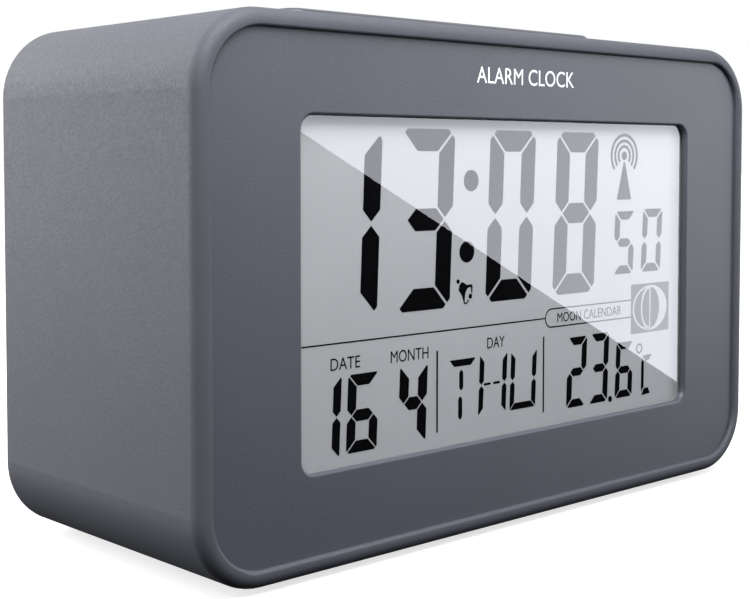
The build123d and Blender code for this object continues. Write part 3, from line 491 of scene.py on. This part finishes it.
@dataclass
class FlatArt:
    """Thin flat shapes on one plane: drawn on X and Z for the display, and turned for the other faces.

    The drawing's first axis runs to the right and its second one up, as its reader sees it.
    """

    name: str
    place: Matrix
    thickness: float = 0.02
    mesh: Shape = field(default_factory=bmesh.new)

    def area(self, outline: Sequence[Point]) -> None:
        """Adds one flat area.

        Args:
            outline: Its corners in order.
        """
        self.mesh.faces.new([self.mesh.verts.new((x * MM, z * MM, 0.0)) for x, z in outline])

    def disc(self, centre: Point, radius: float) -> None:
        """Adds a filled circle."""
        place = spot(centre)
        bmesh.ops.create_circle(self.mesh, cap_ends=True, segments=40, radius=radius * MM, matrix=place)

    def arc(self, centre: Point, radii: Point, start: float, turn: float, squash: float = 1.0) -> None:
        """Adds a band between two radii.

        Args:
            centre: The arcs' centre.
            radii: Inner and outer radius.
            start: Where it starts, in degrees anticlockwise from the right.
            turn: How far it goes, in degrees.
            squash: Its height over its width.
        """
        first = [self.mesh.verts.new((r * MM, 0.0, 0.0)) for r in radii]
        edge = self.mesh.edges.new(first)
        turned = Matrix.Rotation(math.radians(start), 3, "Z")
        bmesh.ops.rotate(self.mesh, verts=first, cent=(0, 0, 0), matrix=turned)
        before = set(self.mesh.verts) - set(first)
        bmesh.ops.spin(
            self.mesh, geom=[*first, edge], cent=(0, 0, 0), axis=(0, 0, 1),
            angle=math.radians(turn), steps=max(8, round(abs(turn) / 7)), use_merge=abs(turn) >= 360,
        )
        band = [v for v in self.mesh.verts if v not in before]
        bmesh.ops.transform(self.mesh, matrix=spot(centre, up=squash), verts=band)

    def stroke(self, start: Point, end: Point, width: float) -> None:
        """Adds a straight square-ended line.

        Args:
            start: One end.
            end: The other end.
            width: Its width.
        """
        run = Vector((end[0] - start[0], end[1] - start[1]))
        side = Vector((-run.y, run.x)).normalized() * width / 2
        corners = [Vector(start) - side, Vector(end) - side, Vector(end) + side, Vector(start) + side]
        self.area([(c.x, c.y) for c in corners])

    def words(self, text: str, centre: Point, width: float, height: float, weight: float) -> None:
        """Adds capital letters or digits, fitted to a box.

        Args:
            text: What they say.
            centre: The box's centre.
            width: The box's width.
            height: The box's height.
            weight: How much every stroke is thickened on each side.
        """
        curve = bpy.data.curves.new(self.name + "_words", "FONT")
        curve.body, curve.resolution_u = text, 4
        writer = bpy.data.objects.new(curve.name, curve)
        bpy.context.scene.collection.objects.link(writer)
        bpy.context.view_layer.update()
        letters = bpy.data.meshes.new_from_object(writer)
        bpy.data.objects.remove(writer)
        xs, ys = [v.co.x for v in letters.vertices], [v.co.y for v in letters.vertices]
        across, up = width * MM / (max(xs) - min(xs)), height * MM / (max(ys) - min(ys))
        middle = Matrix.Translation((-(max(xs) + min(xs)) / 2, -(max(ys) + min(ys)) / 2, 0.0))
        letters.transform(spot(centre, across, up) @ middle)
        thick = bmesh.new()
        thick.from_mesh(letters)
        bmesh.ops.remove_doubles(thick, verts=thick.verts, dist=1e-7)
        bmesh.ops.inset_region(
            thick, faces=thick.faces[:], thickness=weight * MM,
            use_boundary=True, use_even_offset=True, use_outset=True,
        )
        thick.to_mesh(letters)
        thick.free()
        self.mesh.from_mesh(letters)
        bpy.data.meshes.remove(letters)

    def done(self, material: Material, body: str, slot: str) -> None:
        """Gives the drawing its thickness, puts it in place and makes it a piece of the clock.

        Args:
            material: Its finish.
            body: The CAD body that it moves with.
            slot: Not used.
        """
        bmesh.ops.remove_doubles(self.mesh, verts=self.mesh.verts, dist=1e-6)
        bmesh.ops.recalc_face_normals(self.mesh, faces=self.mesh.faces)
        for face in self.mesh.faces:
            if face.normal.z < 0:
                face.normal_flip()
        bmesh.ops.solidify(self.mesh, geom=self.mesh.faces[:], thickness=self.thickness * MM)
        bmesh.ops.transform(self.mesh, matrix=self.place, verts=self.mesh.verts)
        bmesh.ops.recalc_face_normals(self.mesh, faces=self.mesh.faces)
        mesh = bpy.data.meshes.new(self.name)
        self.mesh.to_mesh(mesh)
        self.mesh.free()
        mesh.materials.append(material)
        piece = bpy.data.objects.new(self.name, mesh)
        bpy.context.scene.collection.objects.link(piece)
        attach(piece, body)
        LOG.info("made %s with %d faces, on %s", self.name, len(mesh.polygons), body)


def facing_front(depth: float) -> Matrix:
    """A drawing plane that is read from the front, at depth in millimetres."""
    return Matrix.Translation((0.0, depth * MM, 0.0)) @ Matrix.Rotation(math.radians(90), 4, "X")


def facing_rear(depth: float) -> Matrix:
    """A drawing plane that is read from behind: its right is -X."""
    turned = Matrix.Rotation(math.radians(180), 4, "Z") @ Matrix.Rotation(math.radians(90), 4, "X")
    return Matrix.Translation((0.0, depth * MM, 0.0)) @ turned


def facing_up(height: float) -> Matrix:
    """A drawing plane that is read from above, with its up towards the rear."""
    return Matrix.Translation((0.0, 0.0, height * MM))


# ---- display -------------------------------------------------------------------------------------
class Bar(Enum):
    """The seven bars of a digit."""

    TOP = "a"
    UPPER_RIGHT = "b"
    LOWER_RIGHT = "c"
    BOTTOM = "d"
    LOWER_LEFT = "e"
    UPPER_LEFT = "f"
    MIDDLE = "g"


DIGIT_BARS = {
    "0": "abcdef", "1": "bc", "2": "abdeg", "3": "abcdg",
    "4": "bcfg", "5": "acdfg", "6": "acdefg", "8": "abcdefg",
}


@dataclass(frozen=True)
class Digit:
    """One seven-bar digit: what it shows, where its lower left is, and its proportions."""

    mark: str
    left: float
    foot: float
    width: float
    height: float
    bar: float
    gap: float = 0.22
    corner: float = 0.2
    waist: float = 0.0

    def outline(self, bar: Bar) -> list[Point]:
        """The corners of one bar, from the digit's lower left.

        Args:
            bar: Which bar.

        Returns:
            Its corners in order.
        """
        w, t, g, k = self.width, self.bar, self.gap, self.corner
        waist = self.height / 2 + self.waist
        if bar is Bar.MIDDLE:
            half = [(t / 2 + g, waist), (t + g, waist + t / 2), (w - t - g, waist + t / 2)]
            return half + [(w - x, 2 * waist - z) for x, z in half]
        lower = bar in (Bar.BOTTOM, Bar.LOWER_LEFT, Bar.LOWER_RIGHT)
        h, middle = (self.height, self.height - waist) if lower else (self.height, waist)
        if bar in (Bar.TOP, Bar.BOTTOM):
            left = [(g + t, h - t), (g + k, h - k), (g + 2 * k, h)]
            points = left + [(w - x, z) for x, z in reversed(left)]
        else:
            points = [
                (0.0, h - g - 2 * k), (k, h - g - k), (t, h - g - t),
                (t, middle + g + t / 2), (t / 2, middle + g), (0.0, middle + g + t / 2),
            ]
        if bar in (Bar.UPPER_RIGHT, Bar.LOWER_RIGHT):
            points = [(w - x, z) for x, z in points]
        return [(x, self.height - z) for x, z in points] if lower else points

    def draw(self, art: FlatArt, slant: float, bars: str = "") -> None:
        """Draws the digit, leaning to the right.

        Args:
            art: The drawing to add to.
            slant: Its lean in degrees.
            bars: The letters of the bars to draw, where they aren't a digit's.
        """
        lean = math.tan(math.radians(slant))
        for letter in bars or DIGIT_BARS[self.mark]:
            art.area([(self.left + x + z * lean, self.foot + z) for x, z in self.outline(Bar(letter))])


@dataclass
class DisplayArt:
    """Everything that the liquid crystal cell shows, between its front film and the lens.

    The rows and outlines are on the cell's own grid: grid scales it to the frame's millimetres, and
    grid_start is where its origin lies. Every row leans to the right by slant degrees.
    """

    slant: float = 2.5
    second_slant: float = 3.3
    grid: float = 0.9947
    grid_start: Point = (-0.904, 0.318)
    ink_gap: float = 0.03
    moon_lift: float = 0.025
    colon_radius: float = 1.72
    wave_width: float = 0.52
    thin_bar: float = 1.1
    time_row: tuple[Digit, ...] = (
        Digit("1", -41.0, 36.70, 11.3, 28.0, 3.5, gap=0.3, corner=0.6),
        Digit("3", -25.9, 36.90, 11.9, 28.10, 3.45, gap=0.3, corner=0.6),
        Digit("0", -5.7, 37.15, 11.2, 27.85, 3.45, gap=0.3, corner=0.6),
        Digit("8", 11.15, 37.15, 11.2, 27.80, 3.45, gap=0.3, corner=0.6),
    )
    second_row: tuple[Digit, ...] = (
        Digit("5", 27.85, 39.75, 5.8, 11.25, 1.5, gap=0.28),
        Digit("0", 36.1, 39.80, 5.9, 11.45, 1.5, gap=0.28),
    )
    date_row: tuple[Digit, ...] = (
        Digit("1", -42.95, 16.4, 5.7, 12.15, 1.55, gap=0.08),
        Digit("6", -35.95, 16.75, 6.2, 11.7, 1.75, gap=0.15, waist=-0.35),
        Digit("4", -25.35, 16.4, 6.0, 12.3, 2.0, gap=0.15, waist=0.15),
    )
    warm_row: tuple[Digit, ...] = (
        Digit("2", 15.0, 17.3, 5.2, 12.2, 1.4, gap=0.18),
        Digit("3", 21.25, 17.3, 5.2, 12.3, 1.4, gap=0.18),
        Digit("6", 28.65, 17.4, 5.0, 10.0, 1.3, gap=0.14),
    )
    weekday_foot: float = 18.75
    weekday_height: float = 9.7

    def layer(self, name: str, lift: float = 0.0) -> FlatArt:
        """Starts a drawing just in front of the film.

        Args:
            name: The piece's name.
            lift: How far it stands in front of the first layer.

        Returns:
            The empty drawing.
        """
        film_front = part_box("lcd_front_film")[0].y / MM
        depth = film_front - self.ink_gap - lift
        return FlatArt(name, facing_front(depth) @ spot(self.grid_start, self.grid, self.grid))

    def build(self, ink: Material, grey: Material, pale: Material) -> None:
        """Draws all areas of the display.

        Args:
            ink: Switched-on areas.
            grey: The moon's night side.
            pale: The film's own colour, for what is left clear in the moon's box.
        """
        for art in (
            self.clock_digits(), self.date_digits(), self.weekday(), self.temperature(),
            self.radio_mark(), self.bell(), self.labels(), self.rules(),
        ):
            art.done(ink, "case", "lcd_film")
        self.moon_field().done(grey, "case", "lcd_film")
        self.moon_lines().done(pale, "case", "lcd_film")

    def clock_digits(self) -> FlatArt:
        """The time with its colon, and the small seconds.

        Returns:
            The drawing.
        """
        art = self.layer("time_digits")
        for digit in self.time_row:
            digit.draw(art, self.slant)
        for digit in self.second_row:
            digit.draw(art, self.second_slant)
        for centre in ((-9.1, 56.9), (-10.05, 45.55)):
            art.disc(centre, self.colon_radius)
        return art

    def date_digits(self) -> FlatArt:
        """The day of the month and the month.

        Returns:
            The drawing.
        """
        art = self.layer("date_digits")
        for digit in self.date_row:
            digit.draw(art, self.slant)
        return art

    def weekday(self) -> FlatArt:
        """The weekday in thin bars: a T of three bars, and an H and a U from digit bars.

        Returns:
            The drawing.
        """
        art = self.layer("weekday_letters")
        foot, height = self.weekday_foot, self.weekday_height
        waist, thin = foot + height / 2, self.thin_bar
        Digit("T", -14.5, foot, 6.3, height, thin, 0.12, 0.1).draw(art, self.slant, bars="a")
        for low, high in ((foot + 0.1, waist - 1.15), (waist - 0.1, foot + height - 1.75)):
            self.pointed_bar(art, -11.5 + (low - foot) * 0.05, low, high)
        Digit("H", -7.3, foot, 6.65, height + 0.2, thin, 0.1, 0.1).draw(art, self.slant, bars="bcef")
        half, dash, level = 0.2, 1.75, waist + 0.2
        for left in (-6.0, -3.75):
            right = left + dash
            art.area([
                (left, level), (left + half, level + half), (right - half, level + half),
                (right, level), (right - half, level - half), (left + half, level - half),
            ])
        Digit("U", 0.3, foot, 6.5, height, thin, 0.12, 0.1).draw(art, self.slant, bars="bcdef")
        return art

    def pointed_bar(self, art: FlatArt, centre: float, low: float, high: float) -> None:
        """Draws a thin upright bar with blunt points.

        Args:
            art: The drawing to add to.
            centre: The place of its middle.
            low: Its foot.
            high: Its head.
        """
        half, tip = 0.46, 0.16
        point = [
            (centre - half, low + half), (centre - tip, low),
            (centre + tip, low), (centre + half, low + half),
        ]
        art.area(point + [(2 * centre - x, low + high - z) for x, z in point])

    def temperature(self) -> FlatArt:
        """The temperature with its point and unit.

        Returns:
            The drawing.
        """
        art = self.layer("temperature_digits")
        for digit in self.warm_row:
            digit.draw(art, self.slant)
        art.disc((27.35, 17.5), 0.55)
        art.arc((35.9, 25.8), (0.62, 0.95), 0, 360)
        art.area([(36.85, 24.35), (39.7, 24.5), (38.9, 23.5), (37.85, 23.3)])
        art.area([(36.55, 23.15), (36.9, 23.6), (37.35, 23.15), (37.3, 18.6), (36.5, 17.85)])
        art.area([(36.6, 17.1), (37.4, 18.3), (38.6, 18.4), (39.25, 17.25)])
        return art

    def radio_mark(self) -> FlatArt:
        """A mast with three waves, which tells that the clock hears its radio signal.

        Returns:
            The drawing.
        """
        art = self.layer("radio_mark")
        centre = (30.95, 60.95)
        art.disc(centre, 0.78)
        half = self.wave_width / 2
        for radius in (1.65, 2.65, 3.7):
            art.arc(centre, (radius - half, radius + half), -40, 260)
        art.area([(28.85, 53.1), (33.05, 53.1), (31.15, 59.8), (30.8, 59.8)])
        return art

    def bell(self) -> FlatArt:
        """A small tilted bell, which tells that the alarm is set.

        Returns:
            The drawing.
        """
        art = self.layer("alarm_mark")
        art.disc((-12.05, 40.9), 0.36)
        art.area([
            (-11.95, 39.5), (-11.75, 40.35), (-11.2, 40.8), (-10.65, 40.6), (-10.1, 40.25),
            (-8.95, 40.3), (-8.7, 40.1), (-8.75, 38.9), (-8.95, 38.9), (-9.1, 39.9),
            (-9.9, 39.7), (-10.4, 38.9), (-10.55, 37.6), (-10.2, 37.35), (-9.7, 37.9),
            (-9.5, 37.7), (-10.1, 37.15), (-10.7, 37.25), (-10.95, 38.1), (-11.3, 38.8),
        ])
        art.disc((-9.2, 38.4), 0.42)
        return art

    def labels(self) -> FlatArt:
        """The small words that are printed on the cell.

        Returns:
            The drawing.
        """
        art = self.layer("display_labels")
        for text, centre, width, height, weight in (
            ("DATE", (-36.0, 30.3), 5.85, 1.8, 0.1),
            ("MONTH", (-22.75, 30.25), 8.1, 1.85, 0.1),
            ("DAY", (-3.05, 30.45), 4.2, 1.8, 0.1),
            ("MOON CALENDAR", (21.45, 33.25), 17.8, 1.65, 0.05),
        ):
            art.words(text, centre, width, height, weight)
        return art

    def rules(self) -> FlatArt:
        """The thin lines that part the display's fields, and the frame of the moon's label.

        Returns:
            The drawing.
        """
        art = self.layer("display_rules")
        thin, thick = 0.22, 0.36
        left, right, low, high = 9.4, 33.3, 31.75, 34.85
        bend = (high - low) / 2
        art.stroke((-47.0, 33.35), (left, 33.35), thin)
        for x in (-16.75, 8.95):
            art.stroke((x, 17.4), (x, 30.3), thick)
        art.arc((left + bend, low + bend), (bend - thin / 2, bend + thin / 2), 90, 180)
        for z in (low, high):
            art.stroke((left + bend, z), (right, z), thin)
        return art

    def moon_field(self) -> FlatArt:
        """The grey field behind the moon.

        Returns:
            The drawing.
        """
        art = self.layer("moon_field")
        art.area([(33.3, 28.6), (44.85, 28.6), (44.85, 37.6), (33.3, 37.6)])
        return art

    def moon_lines(self) -> FlatArt:
        """The moon's outline, two phase lines, and its lit side.

        Returns:
            The drawing.
        """
        art = self.layer("moon_phase", self.moon_lift)
        (x, z), reach, rise = (39.0, 33.1), 5.2, 4.15
        rim, (inner_phase, phase), lit, lit_rim = 0.42, (2.35, 2.75), 2.9, 0.35
        end_gap, line = 0.2, 0.32
        art.arc((x, z), (reach - rim, reach), 90, 180, rise / reach)
        art.arc((x, z), (inner_phase, phase), 90, 180, rise / phase)
        art.stroke((x, z - rise + end_gap), (x, z + rise - end_gap), line)
        outer = [(x + reach * math.cos(a), z + rise * math.sin(a)) for a in half_turn(24)]
        inner = [(x + lit * math.cos(a), z + (rise - lit_rim) * math.sin(a)) for a in half_turn(24)]
        art.area(outer + inner[::-1])
        return art


def half_turn(steps: int) -> list[float]:
    """Angles from straight down to straight up by way of the right, in radians."""
    return [math.radians(-90 + 180 * i / steps) for i in range(steps + 1)]


# ---- the clock's outside -------------------------------------------------------------------------
@dataclass
class Outside:
    """The visible shells and keys, with what is printed on them."""

    slate: Colour = (0.048, 0.0515, 0.065)
    dark_slate: Colour = (0.047, 0.050, 0.061)
    print_white: Colour = (0.7605, 0.7758, 0.7913)
    key_rise: float = 1.1
    latch_rise: float = 0.2
    letter_pitch: float = 1.45
    key_word_gap: float = 0.9
    switch_word_gap: float = 2.2
    switch_word_step: float = 4.6

    def build(self) -> None:
        """Dresses the shells and adds the prints."""
        shell = GrainedPlastic("slate_grained", self.slate, gloss_roughness=0.66).material()
        face = GrainedPlastic("slate_face", self.slate, grain=0.36, gloss_roughness=0.42).material()
        keys = GrainedPlastic(
            "slate_keys", self.dark_slate, grain=0.3, depth=0.012, gloss_roughness=0.38
        ).material()
        dress("case_sleeve", shell)
        dress(("back_cover", "battery_door"), GrainedPlastic("slate_cover", self.dark_slate).material())
        dress("front_bezel", face)
        dress(("snooze_key", "mode_key", "up_key", "down_key", "alarm_key", "wave_key"), keys)
        feet = sorted(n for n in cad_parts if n.startswith("foot_"))
        dress(feet, SoftRubber("foot_rubber", (0.018, 0.018, 0.02)).material())
        dress("display_lens", ClearPane("lens_clear").material())
        white = FlatInk("print_white", self.print_white).material()
        self.front_print().done(white, "case", "bezel_slate")
        self.snooze_print().done(white, "snooze_key", "key_slate")
        self.rear_print().done(white, "case", "cover_slate")
        self.door_print().done(white, "battery_door", "cover_slate")

    def front_print(self) -> FlatArt:
        """Plain words above the display.

        Returns:
            The drawing.
        """
        bezel_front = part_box("front_bezel")[0].y / MM
        art = FlatArt("front_print", facing_front(bezel_front - INK_LIFT), INK_THICKNESS)
        art.words("ALARM CLOCK", (1.4, 73.6), 24.0, 2.6, weight=0.1)
        return art

    def snooze_print(self) -> FlatArt:
        """Plain words on the snooze key, read from the front.

        Returns:
            The drawing.
        """
        low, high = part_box("snooze_key")
        art = FlatArt("snooze_print", facing_up(high.z / MM + INK_LIFT), INK_THICKNESS)
        middle = (low + high) / 2 / MM
        art.words("SNOOZE  LIGHT", (middle.x, middle.y), 26.0, 2.8, weight=0.1)
        return art

    def rear_print(self) -> FlatArt:
        """What each rear control does.

        Returns:
            The drawing.
        """
        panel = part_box("mode_key")[1].y / MM - self.key_rise
        art = FlatArt("rear_print", facing_rear(panel + INK_LIFT), INK_THICKNESS)
        for word in ("MODE", "UP", "DOWN", "ALARM", "WAVE"):
            low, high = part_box(word.lower() + "_key")
            centre = (-(low.x + high.x) / 2 / MM, high.z / MM + self.key_word_gap)
            art.words(word, centre, self.letter_pitch * len(word), 1.5, weight=0.05)
        low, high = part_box("alarm_switch_knob")
        middle = -(low.x + high.x) / 2 / MM
        level = high.z / MM + self.switch_word_gap
        art.words("OFF", (middle, level), 3.0, 1.3, weight=0.04)
        art.words("ON", (middle - self.switch_word_step, level), 2.1, 1.3, weight=0.04)
        return art

    def door_print(self) -> FlatArt:
        """The word that tells where the battery door opens.

        Returns:
            The drawing.
        """
        low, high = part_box("battery_door")
        face = high.y / MM - self.latch_rise
        art = FlatArt("door_print", facing_rear(face + INK_LIFT), INK_THICKNESS)
        art.words("OPEN", (0.0, low.z / MM + 5.0), 7.0, 1.8, weight=0.06)
        return art


# ---- the clock's inside --------------------------------------------------------------------------
@dataclass
class Inside:
    """Everything behind the shells."""

    band_length: float = 14.0
    board: CircuitBoard = CircuitBoard("board_green")
    nickel: PlatedMetal = PlatedMetal("nickel_plate", (0.68, 0.66, 0.62))
    black_zinc: PlatedMetal = PlatedMetal("screw_black_zinc", (0.16, 0.16, 0.17), gloss_roughness=0.34)
    resin: SmoothPlastic = SmoothPlastic("chip_resin", (0.014, 0.014, 0.016), gloss_roughness=0.42)
    white: SmoothPlastic = SmoothPlastic("white_moulding", (0.72, 0.73, 0.72), gloss_roughness=0.4)
    silicone: SoftRubber = SoftRubber("silicone_pale", (0.42, 0.43, 0.43), gloss_roughness=0.55)
    carbon: SoftRubber = SoftRubber("strip_rubber", (0.06, 0.06, 0.065), gloss_roughness=0.6)

    def build(self) -> None:
        """Dresses every hidden node in its own finish."""
        boards = ("main_board", "key_board", "snooze_board", "receiver_board", "backlight_strip")
        dress(boards, self.board.material())
        dress(sorted(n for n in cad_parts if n.endswith("_screws")), self.black_zinc.material())
        plated = ["snooze_spring_left", "snooze_spring_right", "clock_crystal"]
        dress(plated + sorted(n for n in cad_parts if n.endswith("_contact")), self.nickel.material())
        dress(("controller_chip", "alarm_switch", "snooze_switch", "snooze_plunger"), self.resin.material())
        dress(("light_guide", "lcd_holder", "antenna_bracket", "buzzer_ring"), self.white.material())
        dress("key_mat", self.silicone.material())
        dress(("zebra_strip_lower", "zebra_strip_upper"), self.carbon.material())
        dress("antenna_coil", WoundWire("copper_winding", (0.75, 0.33, 0.14)).material())
        dress("buzzer_disc", PlatedMetal("buzzer_brass", (0.78, 0.58, 0.26), 0.3).material())
        glass = SmoothPlastic("cell_glass", (0.42, 0.45, 0.45), 0.08).material()
        dress(("lcd_front_glass", "lcd_rear_glass", "lcd_rear_film"), glass)
        for node, name, colour, gloss in (
            ("alarm_switch_knob", "knob_black", (0.02, 0.02, 0.022), 0.36),
            ("temperature_sensor", "sensor_resin", (0.012, 0.03, 0.05), 0.3),
            ("board_capacitors", "capacitor_sleeve", (0.02, 0.025, 0.06), 0.25),
            ("backlight_lamps", "lamp_resin", (0.85, 0.78, 0.35), 0.2),
            ("ferrite_rod", "ferrite", (0.035, 0.035, 0.038), 0.5),
        ):
            dress(node, SmoothPlastic(name, colour, gloss).material())
        self.wires()
        self.cells()

    def wires(self) -> None:
        """Gives each lead its own colour."""
        colours = {
            "battery_leads": (0.45, 0.02, 0.02),
            "buzzer_leads": (0.02, 0.02, 0.022),
            "snooze_leads": (0.62, 0.5, 0.05),
            "antenna_leads": (0.5, 0.22, 0.09),
            "key_cable": (0.5, 0.51, 0.52),
        }
        for node, colour in colours.items():
            dress(node, SmoothPlastic(node + "_cover", colour, gloss_roughness=0.3).material())

    def cells(self) -> None:
        """Gives each dry cell a plain two-colour sleeve, banded at its nub end."""
        for node, towards in (("battery_upper", 1), ("battery_lower", -1)):
            low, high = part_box(node)
            end = high.x if towards > 0 else low.x
            split = end / MM - towards * self.band_length
            wrap = CellWrap(node + "_wrap", (0.03, 0.035, 0.05), (0.55, 0.36, 0.12), split, towards)
            dress(node, wrap.material())


# ---- studio --------------------------------------------------------------------------------------
@dataclass(frozen=True)
class SoftLight:
    """One square soft light: its place and target in millimetres, its side in metres, its watts."""

    name: str
    place: tuple[float, float, float]
    target: tuple[float, float, float]
    size: float
    power: float

    def build(self) -> None:
        """Adds the light to the scene."""
        data = bpy.data.lights.new(self.name, "AREA")
        data.size, data.energy = self.size, self.power
        light = bpy.data.objects.new(self.name, data)
        light.location = Vector(self.place) * MM
        aim = Vector(self.target) - Vector(self.place)
        light.rotation_euler = aim.to_track_quat("-Z", "Y").to_euler()
        bpy.context.scene.collection.objects.link(light)


@dataclass
class Studio:
    """A pale floor, a soft box that the front mirrors, a dark flag behind it, fill lights, and the camera.

    The camera's lens and sensor are in millimetres, as every length here is but the floor's radius in
    metres. box_seen and flag_seen are the X and Z at which the lens shows the corners.
    """

    eye: tuple[float, float, float] = (-170.8, -173.8, 60.1)
    heading: float = 42.95
    dip: float = 2.65
    lens: float = 66.41
    shift: float = -0.10
    sensor: float = 36.0
    floor_radius: float = 6.0
    floor_glow: float = 0.7
    box_depth: float = -450.0
    flag_gap: float = 10.0
    box_strength: float = 3.6
    box_tint: Colour = (0.94, 0.96, 1.04)
    box_seen: tuple[Point, ...] = ((-70.0, 76.1), (70.0, 6.6), (115.0, 6.6), (115.0, 150.0), (-70.0, 150.0))
    lights: tuple[SoftLight, ...] = (
        SoftLight("left_light", (-430, 300, 250), (-65, 0, 45), 0.4, 1.7),
        SoftLight("left_rear_light", (-330, 420, 140), (-40, 20, 45), 0.3, 1.4),
        SoftLight("front_top_light", (-90, -170, 280), (-20, -25, 60), 0.2, 2.0),
        SoftLight("rear_light", (-100, 500, 200), (0, 26, 40), 0.4, 1.2),
        SoftLight("right_light", (600, -60, 150), (65, 0, 40), 0.4, 0.5),
    )
    flag_seen: tuple[Point, ...] = ((-440.0, -60.0), (140.0, -60.0), (140.0, 190.0), (-440.0, 190.0))

    def build(self) -> None:
        """Sets up the whole studio."""
        bpy.context.scene.view_settings.view_transform = "Standard"
        bpy.context.scene.view_settings.look = "None"
        self.camera()
        self.world()
        self.floor()
        self.soft_box()
        self.flag()
        for light in self.lights:
            light.build()

    def camera(self) -> None:
        """Places the camera in front, to the left, and low."""
        data = bpy.data.cameras.new("camera")
        data.sensor_width, data.lens, data.shift_y = self.sensor, self.lens, self.shift
        data.clip_start, data.clip_end = 0.01, 50.0
        camera = bpy.data.objects.new("camera", data)
        camera.location = Vector(self.eye) * MM
        camera.rotation_euler = (math.radians(90 - self.dip), 0.0, math.radians(-self.heading))
        bpy.context.scene.collection.objects.link(camera)
        bpy.context.scene.camera = camera

    def world(self) -> None:
        """A white sky that fades to dark below the horizon, so that undersides stay dark."""
        world = bpy.data.worlds.new("studio_sky")
        world.use_nodes = True
        tree = world.node_tree
        tree.nodes.clear()
        place = tree.nodes.new("ShaderNodeTexCoord")
        parts = tree.nodes.new("ShaderNodeSeparateXYZ")
        ramp = tree.nodes.new("ShaderNodeMapRange")
        sky = tree.nodes.new("ShaderNodeBackground")
        sky.inputs["Color"].default_value = (1.0, 1.0, 1.0, 1.0)
        output = tree.nodes.new("ShaderNodeOutputWorld")
        tree.links.new(place.outputs["Generated"], parts.inputs["Vector"])
        tree.links.new(parts.outputs["Z"], ramp.inputs["Value"])
        for key, value in {"From Min": -0.25, "From Max": -0.02, "To Min": 0.04, "To Max": 1.0}.items():
            ramp.inputs[key].default_value = value
        tree.links.new(ramp.outputs["Result"], sky.inputs["Strength"])
        tree.links.new(sky.outputs["Background"], output.inputs["Surface"])
        bpy.context.scene.world = world

    def staged(self, name: str, shape: Shape, material: Material) -> bpy.types.Object:
        """Makes a piece of the studio, which isn't part of the clock.

        Args:
            name: Its name.
            shape: Its mesh, which is used up.
            material: Its material.

        Returns:
            The object.
        """
        mesh = bpy.data.meshes.new(name)
        shape.to_mesh(mesh)
        shape.free()
        mesh.materials.append(material)
        made = bpy.data.objects.new(name, mesh)
        bpy.context.scene.collection.objects.link(made)
        return made

    def floor(self) -> None:
        """A wide pale floor that shows the clock's shadow but throws no light back up at it."""
        shape = bmesh.new()
        bmesh.ops.create_circle(shape, cap_ends=True, segments=64, radius=self.floor_radius)
        sheet = ShaderSheet("floor_pale")
        cloud = sheet.noise(60.0, detail=4.0)
        tint = sheet.blend(sheet.span(cloud, 0.0, 1.0), (0.50, 0.50, 0.50, 1.0), (0.52, 0.52, 0.52, 1.0))
        values = {"Base Color": tint, "Roughness": 0.8, "Specular IOR Level": 0.1}
        values |= {"Emission Color": (1.0, 1.0, 1.0, 1.0), "Emission Strength": self.floor_glow}
        floor = self.staged("floor", shape, sheet.surface(values))
        floor.visible_diffuse = floor.visible_glossy = floor.visible_shadow = False

    def mirrored(self, seen: Sequence[Point], depth: float) -> Shape:
        """A flat shape that the lens shows, from the camera, at given places on itself.

        Args:
            seen: Where its corners are to be seen on the lens.
            depth: How far in front it stands.

        Returns:
            The shape's mesh.
        """
        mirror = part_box("display_lens")[0].y / MM
        eye = Vector((self.eye[0], 2 * mirror - self.eye[1], self.eye[2]))
        shape = bmesh.new()
        corners = []
        for x, z in seen:
            ray = Vector((x, mirror, z)) - eye
            corners.append(shape.verts.new((eye + ray * (depth - eye.y) / ray.y) * MM))
        shape.faces.new(corners)
        return shape

    def soft_box(self) -> None:
        """A large soft box over the right shoulder, whose lower edge crosses the lens aslant."""
        sheet = ShaderSheet("soft_box_cloth")
        glow = sheet.node("Emission", {"Color": opaque(self.box_tint), "Strength": self.box_strength})
        sheet.tree.links.new(glow.outputs["Emission"], sheet.output.inputs["Surface"])
        box = self.staged("soft_box", self.mirrored(self.box_seen, self.box_depth), sheet.material)
        box.visible_camera = box.visible_transmission = False

    def flag(self) -> None:
        """A dark cloth behind the soft box, so that the rest of the lens and the lower bezel stay dark."""
        sheet = ShaderSheet("flag_cloth")
        weave = sheet.noise(2.0)
        tint = sheet.blend(weave, (0.004, 0.004, 0.004, 1.0), (0.008, 0.008, 0.008, 1.0))
        cloth = sheet.surface({"Base Color": tint, "Roughness": 1.0, "Specular IOR Level": 0.0})
        flag = self.staged("flag", self.mirrored(self.flag_seen, self.box_depth - self.flag_gap), cloth)
        flag.visible_camera = flag.visible_transmission = False


def main() -> None:
    """Builds every part of the picture in order."""
    logging.basicConfig(level=logging.INFO, format="%(name)s: %(message)s")
    Outside().build()
    film = DisplayFilm("display_film", (0.46, 0.465, 0.48), (0.37, 0.375, 0.39)).material()
    dress("lcd_front_film", film)
    DisplayArt().build(
        FlatInk("display_dark", (0.0025, 0.0025, 0.003)).material(),
        FlatInk("display_grey", (0.06, 0.062, 0.066)).material(),
        film,
    )
    Inside().build()
    Studio().build()


if __name__ == "__main__":
    main()
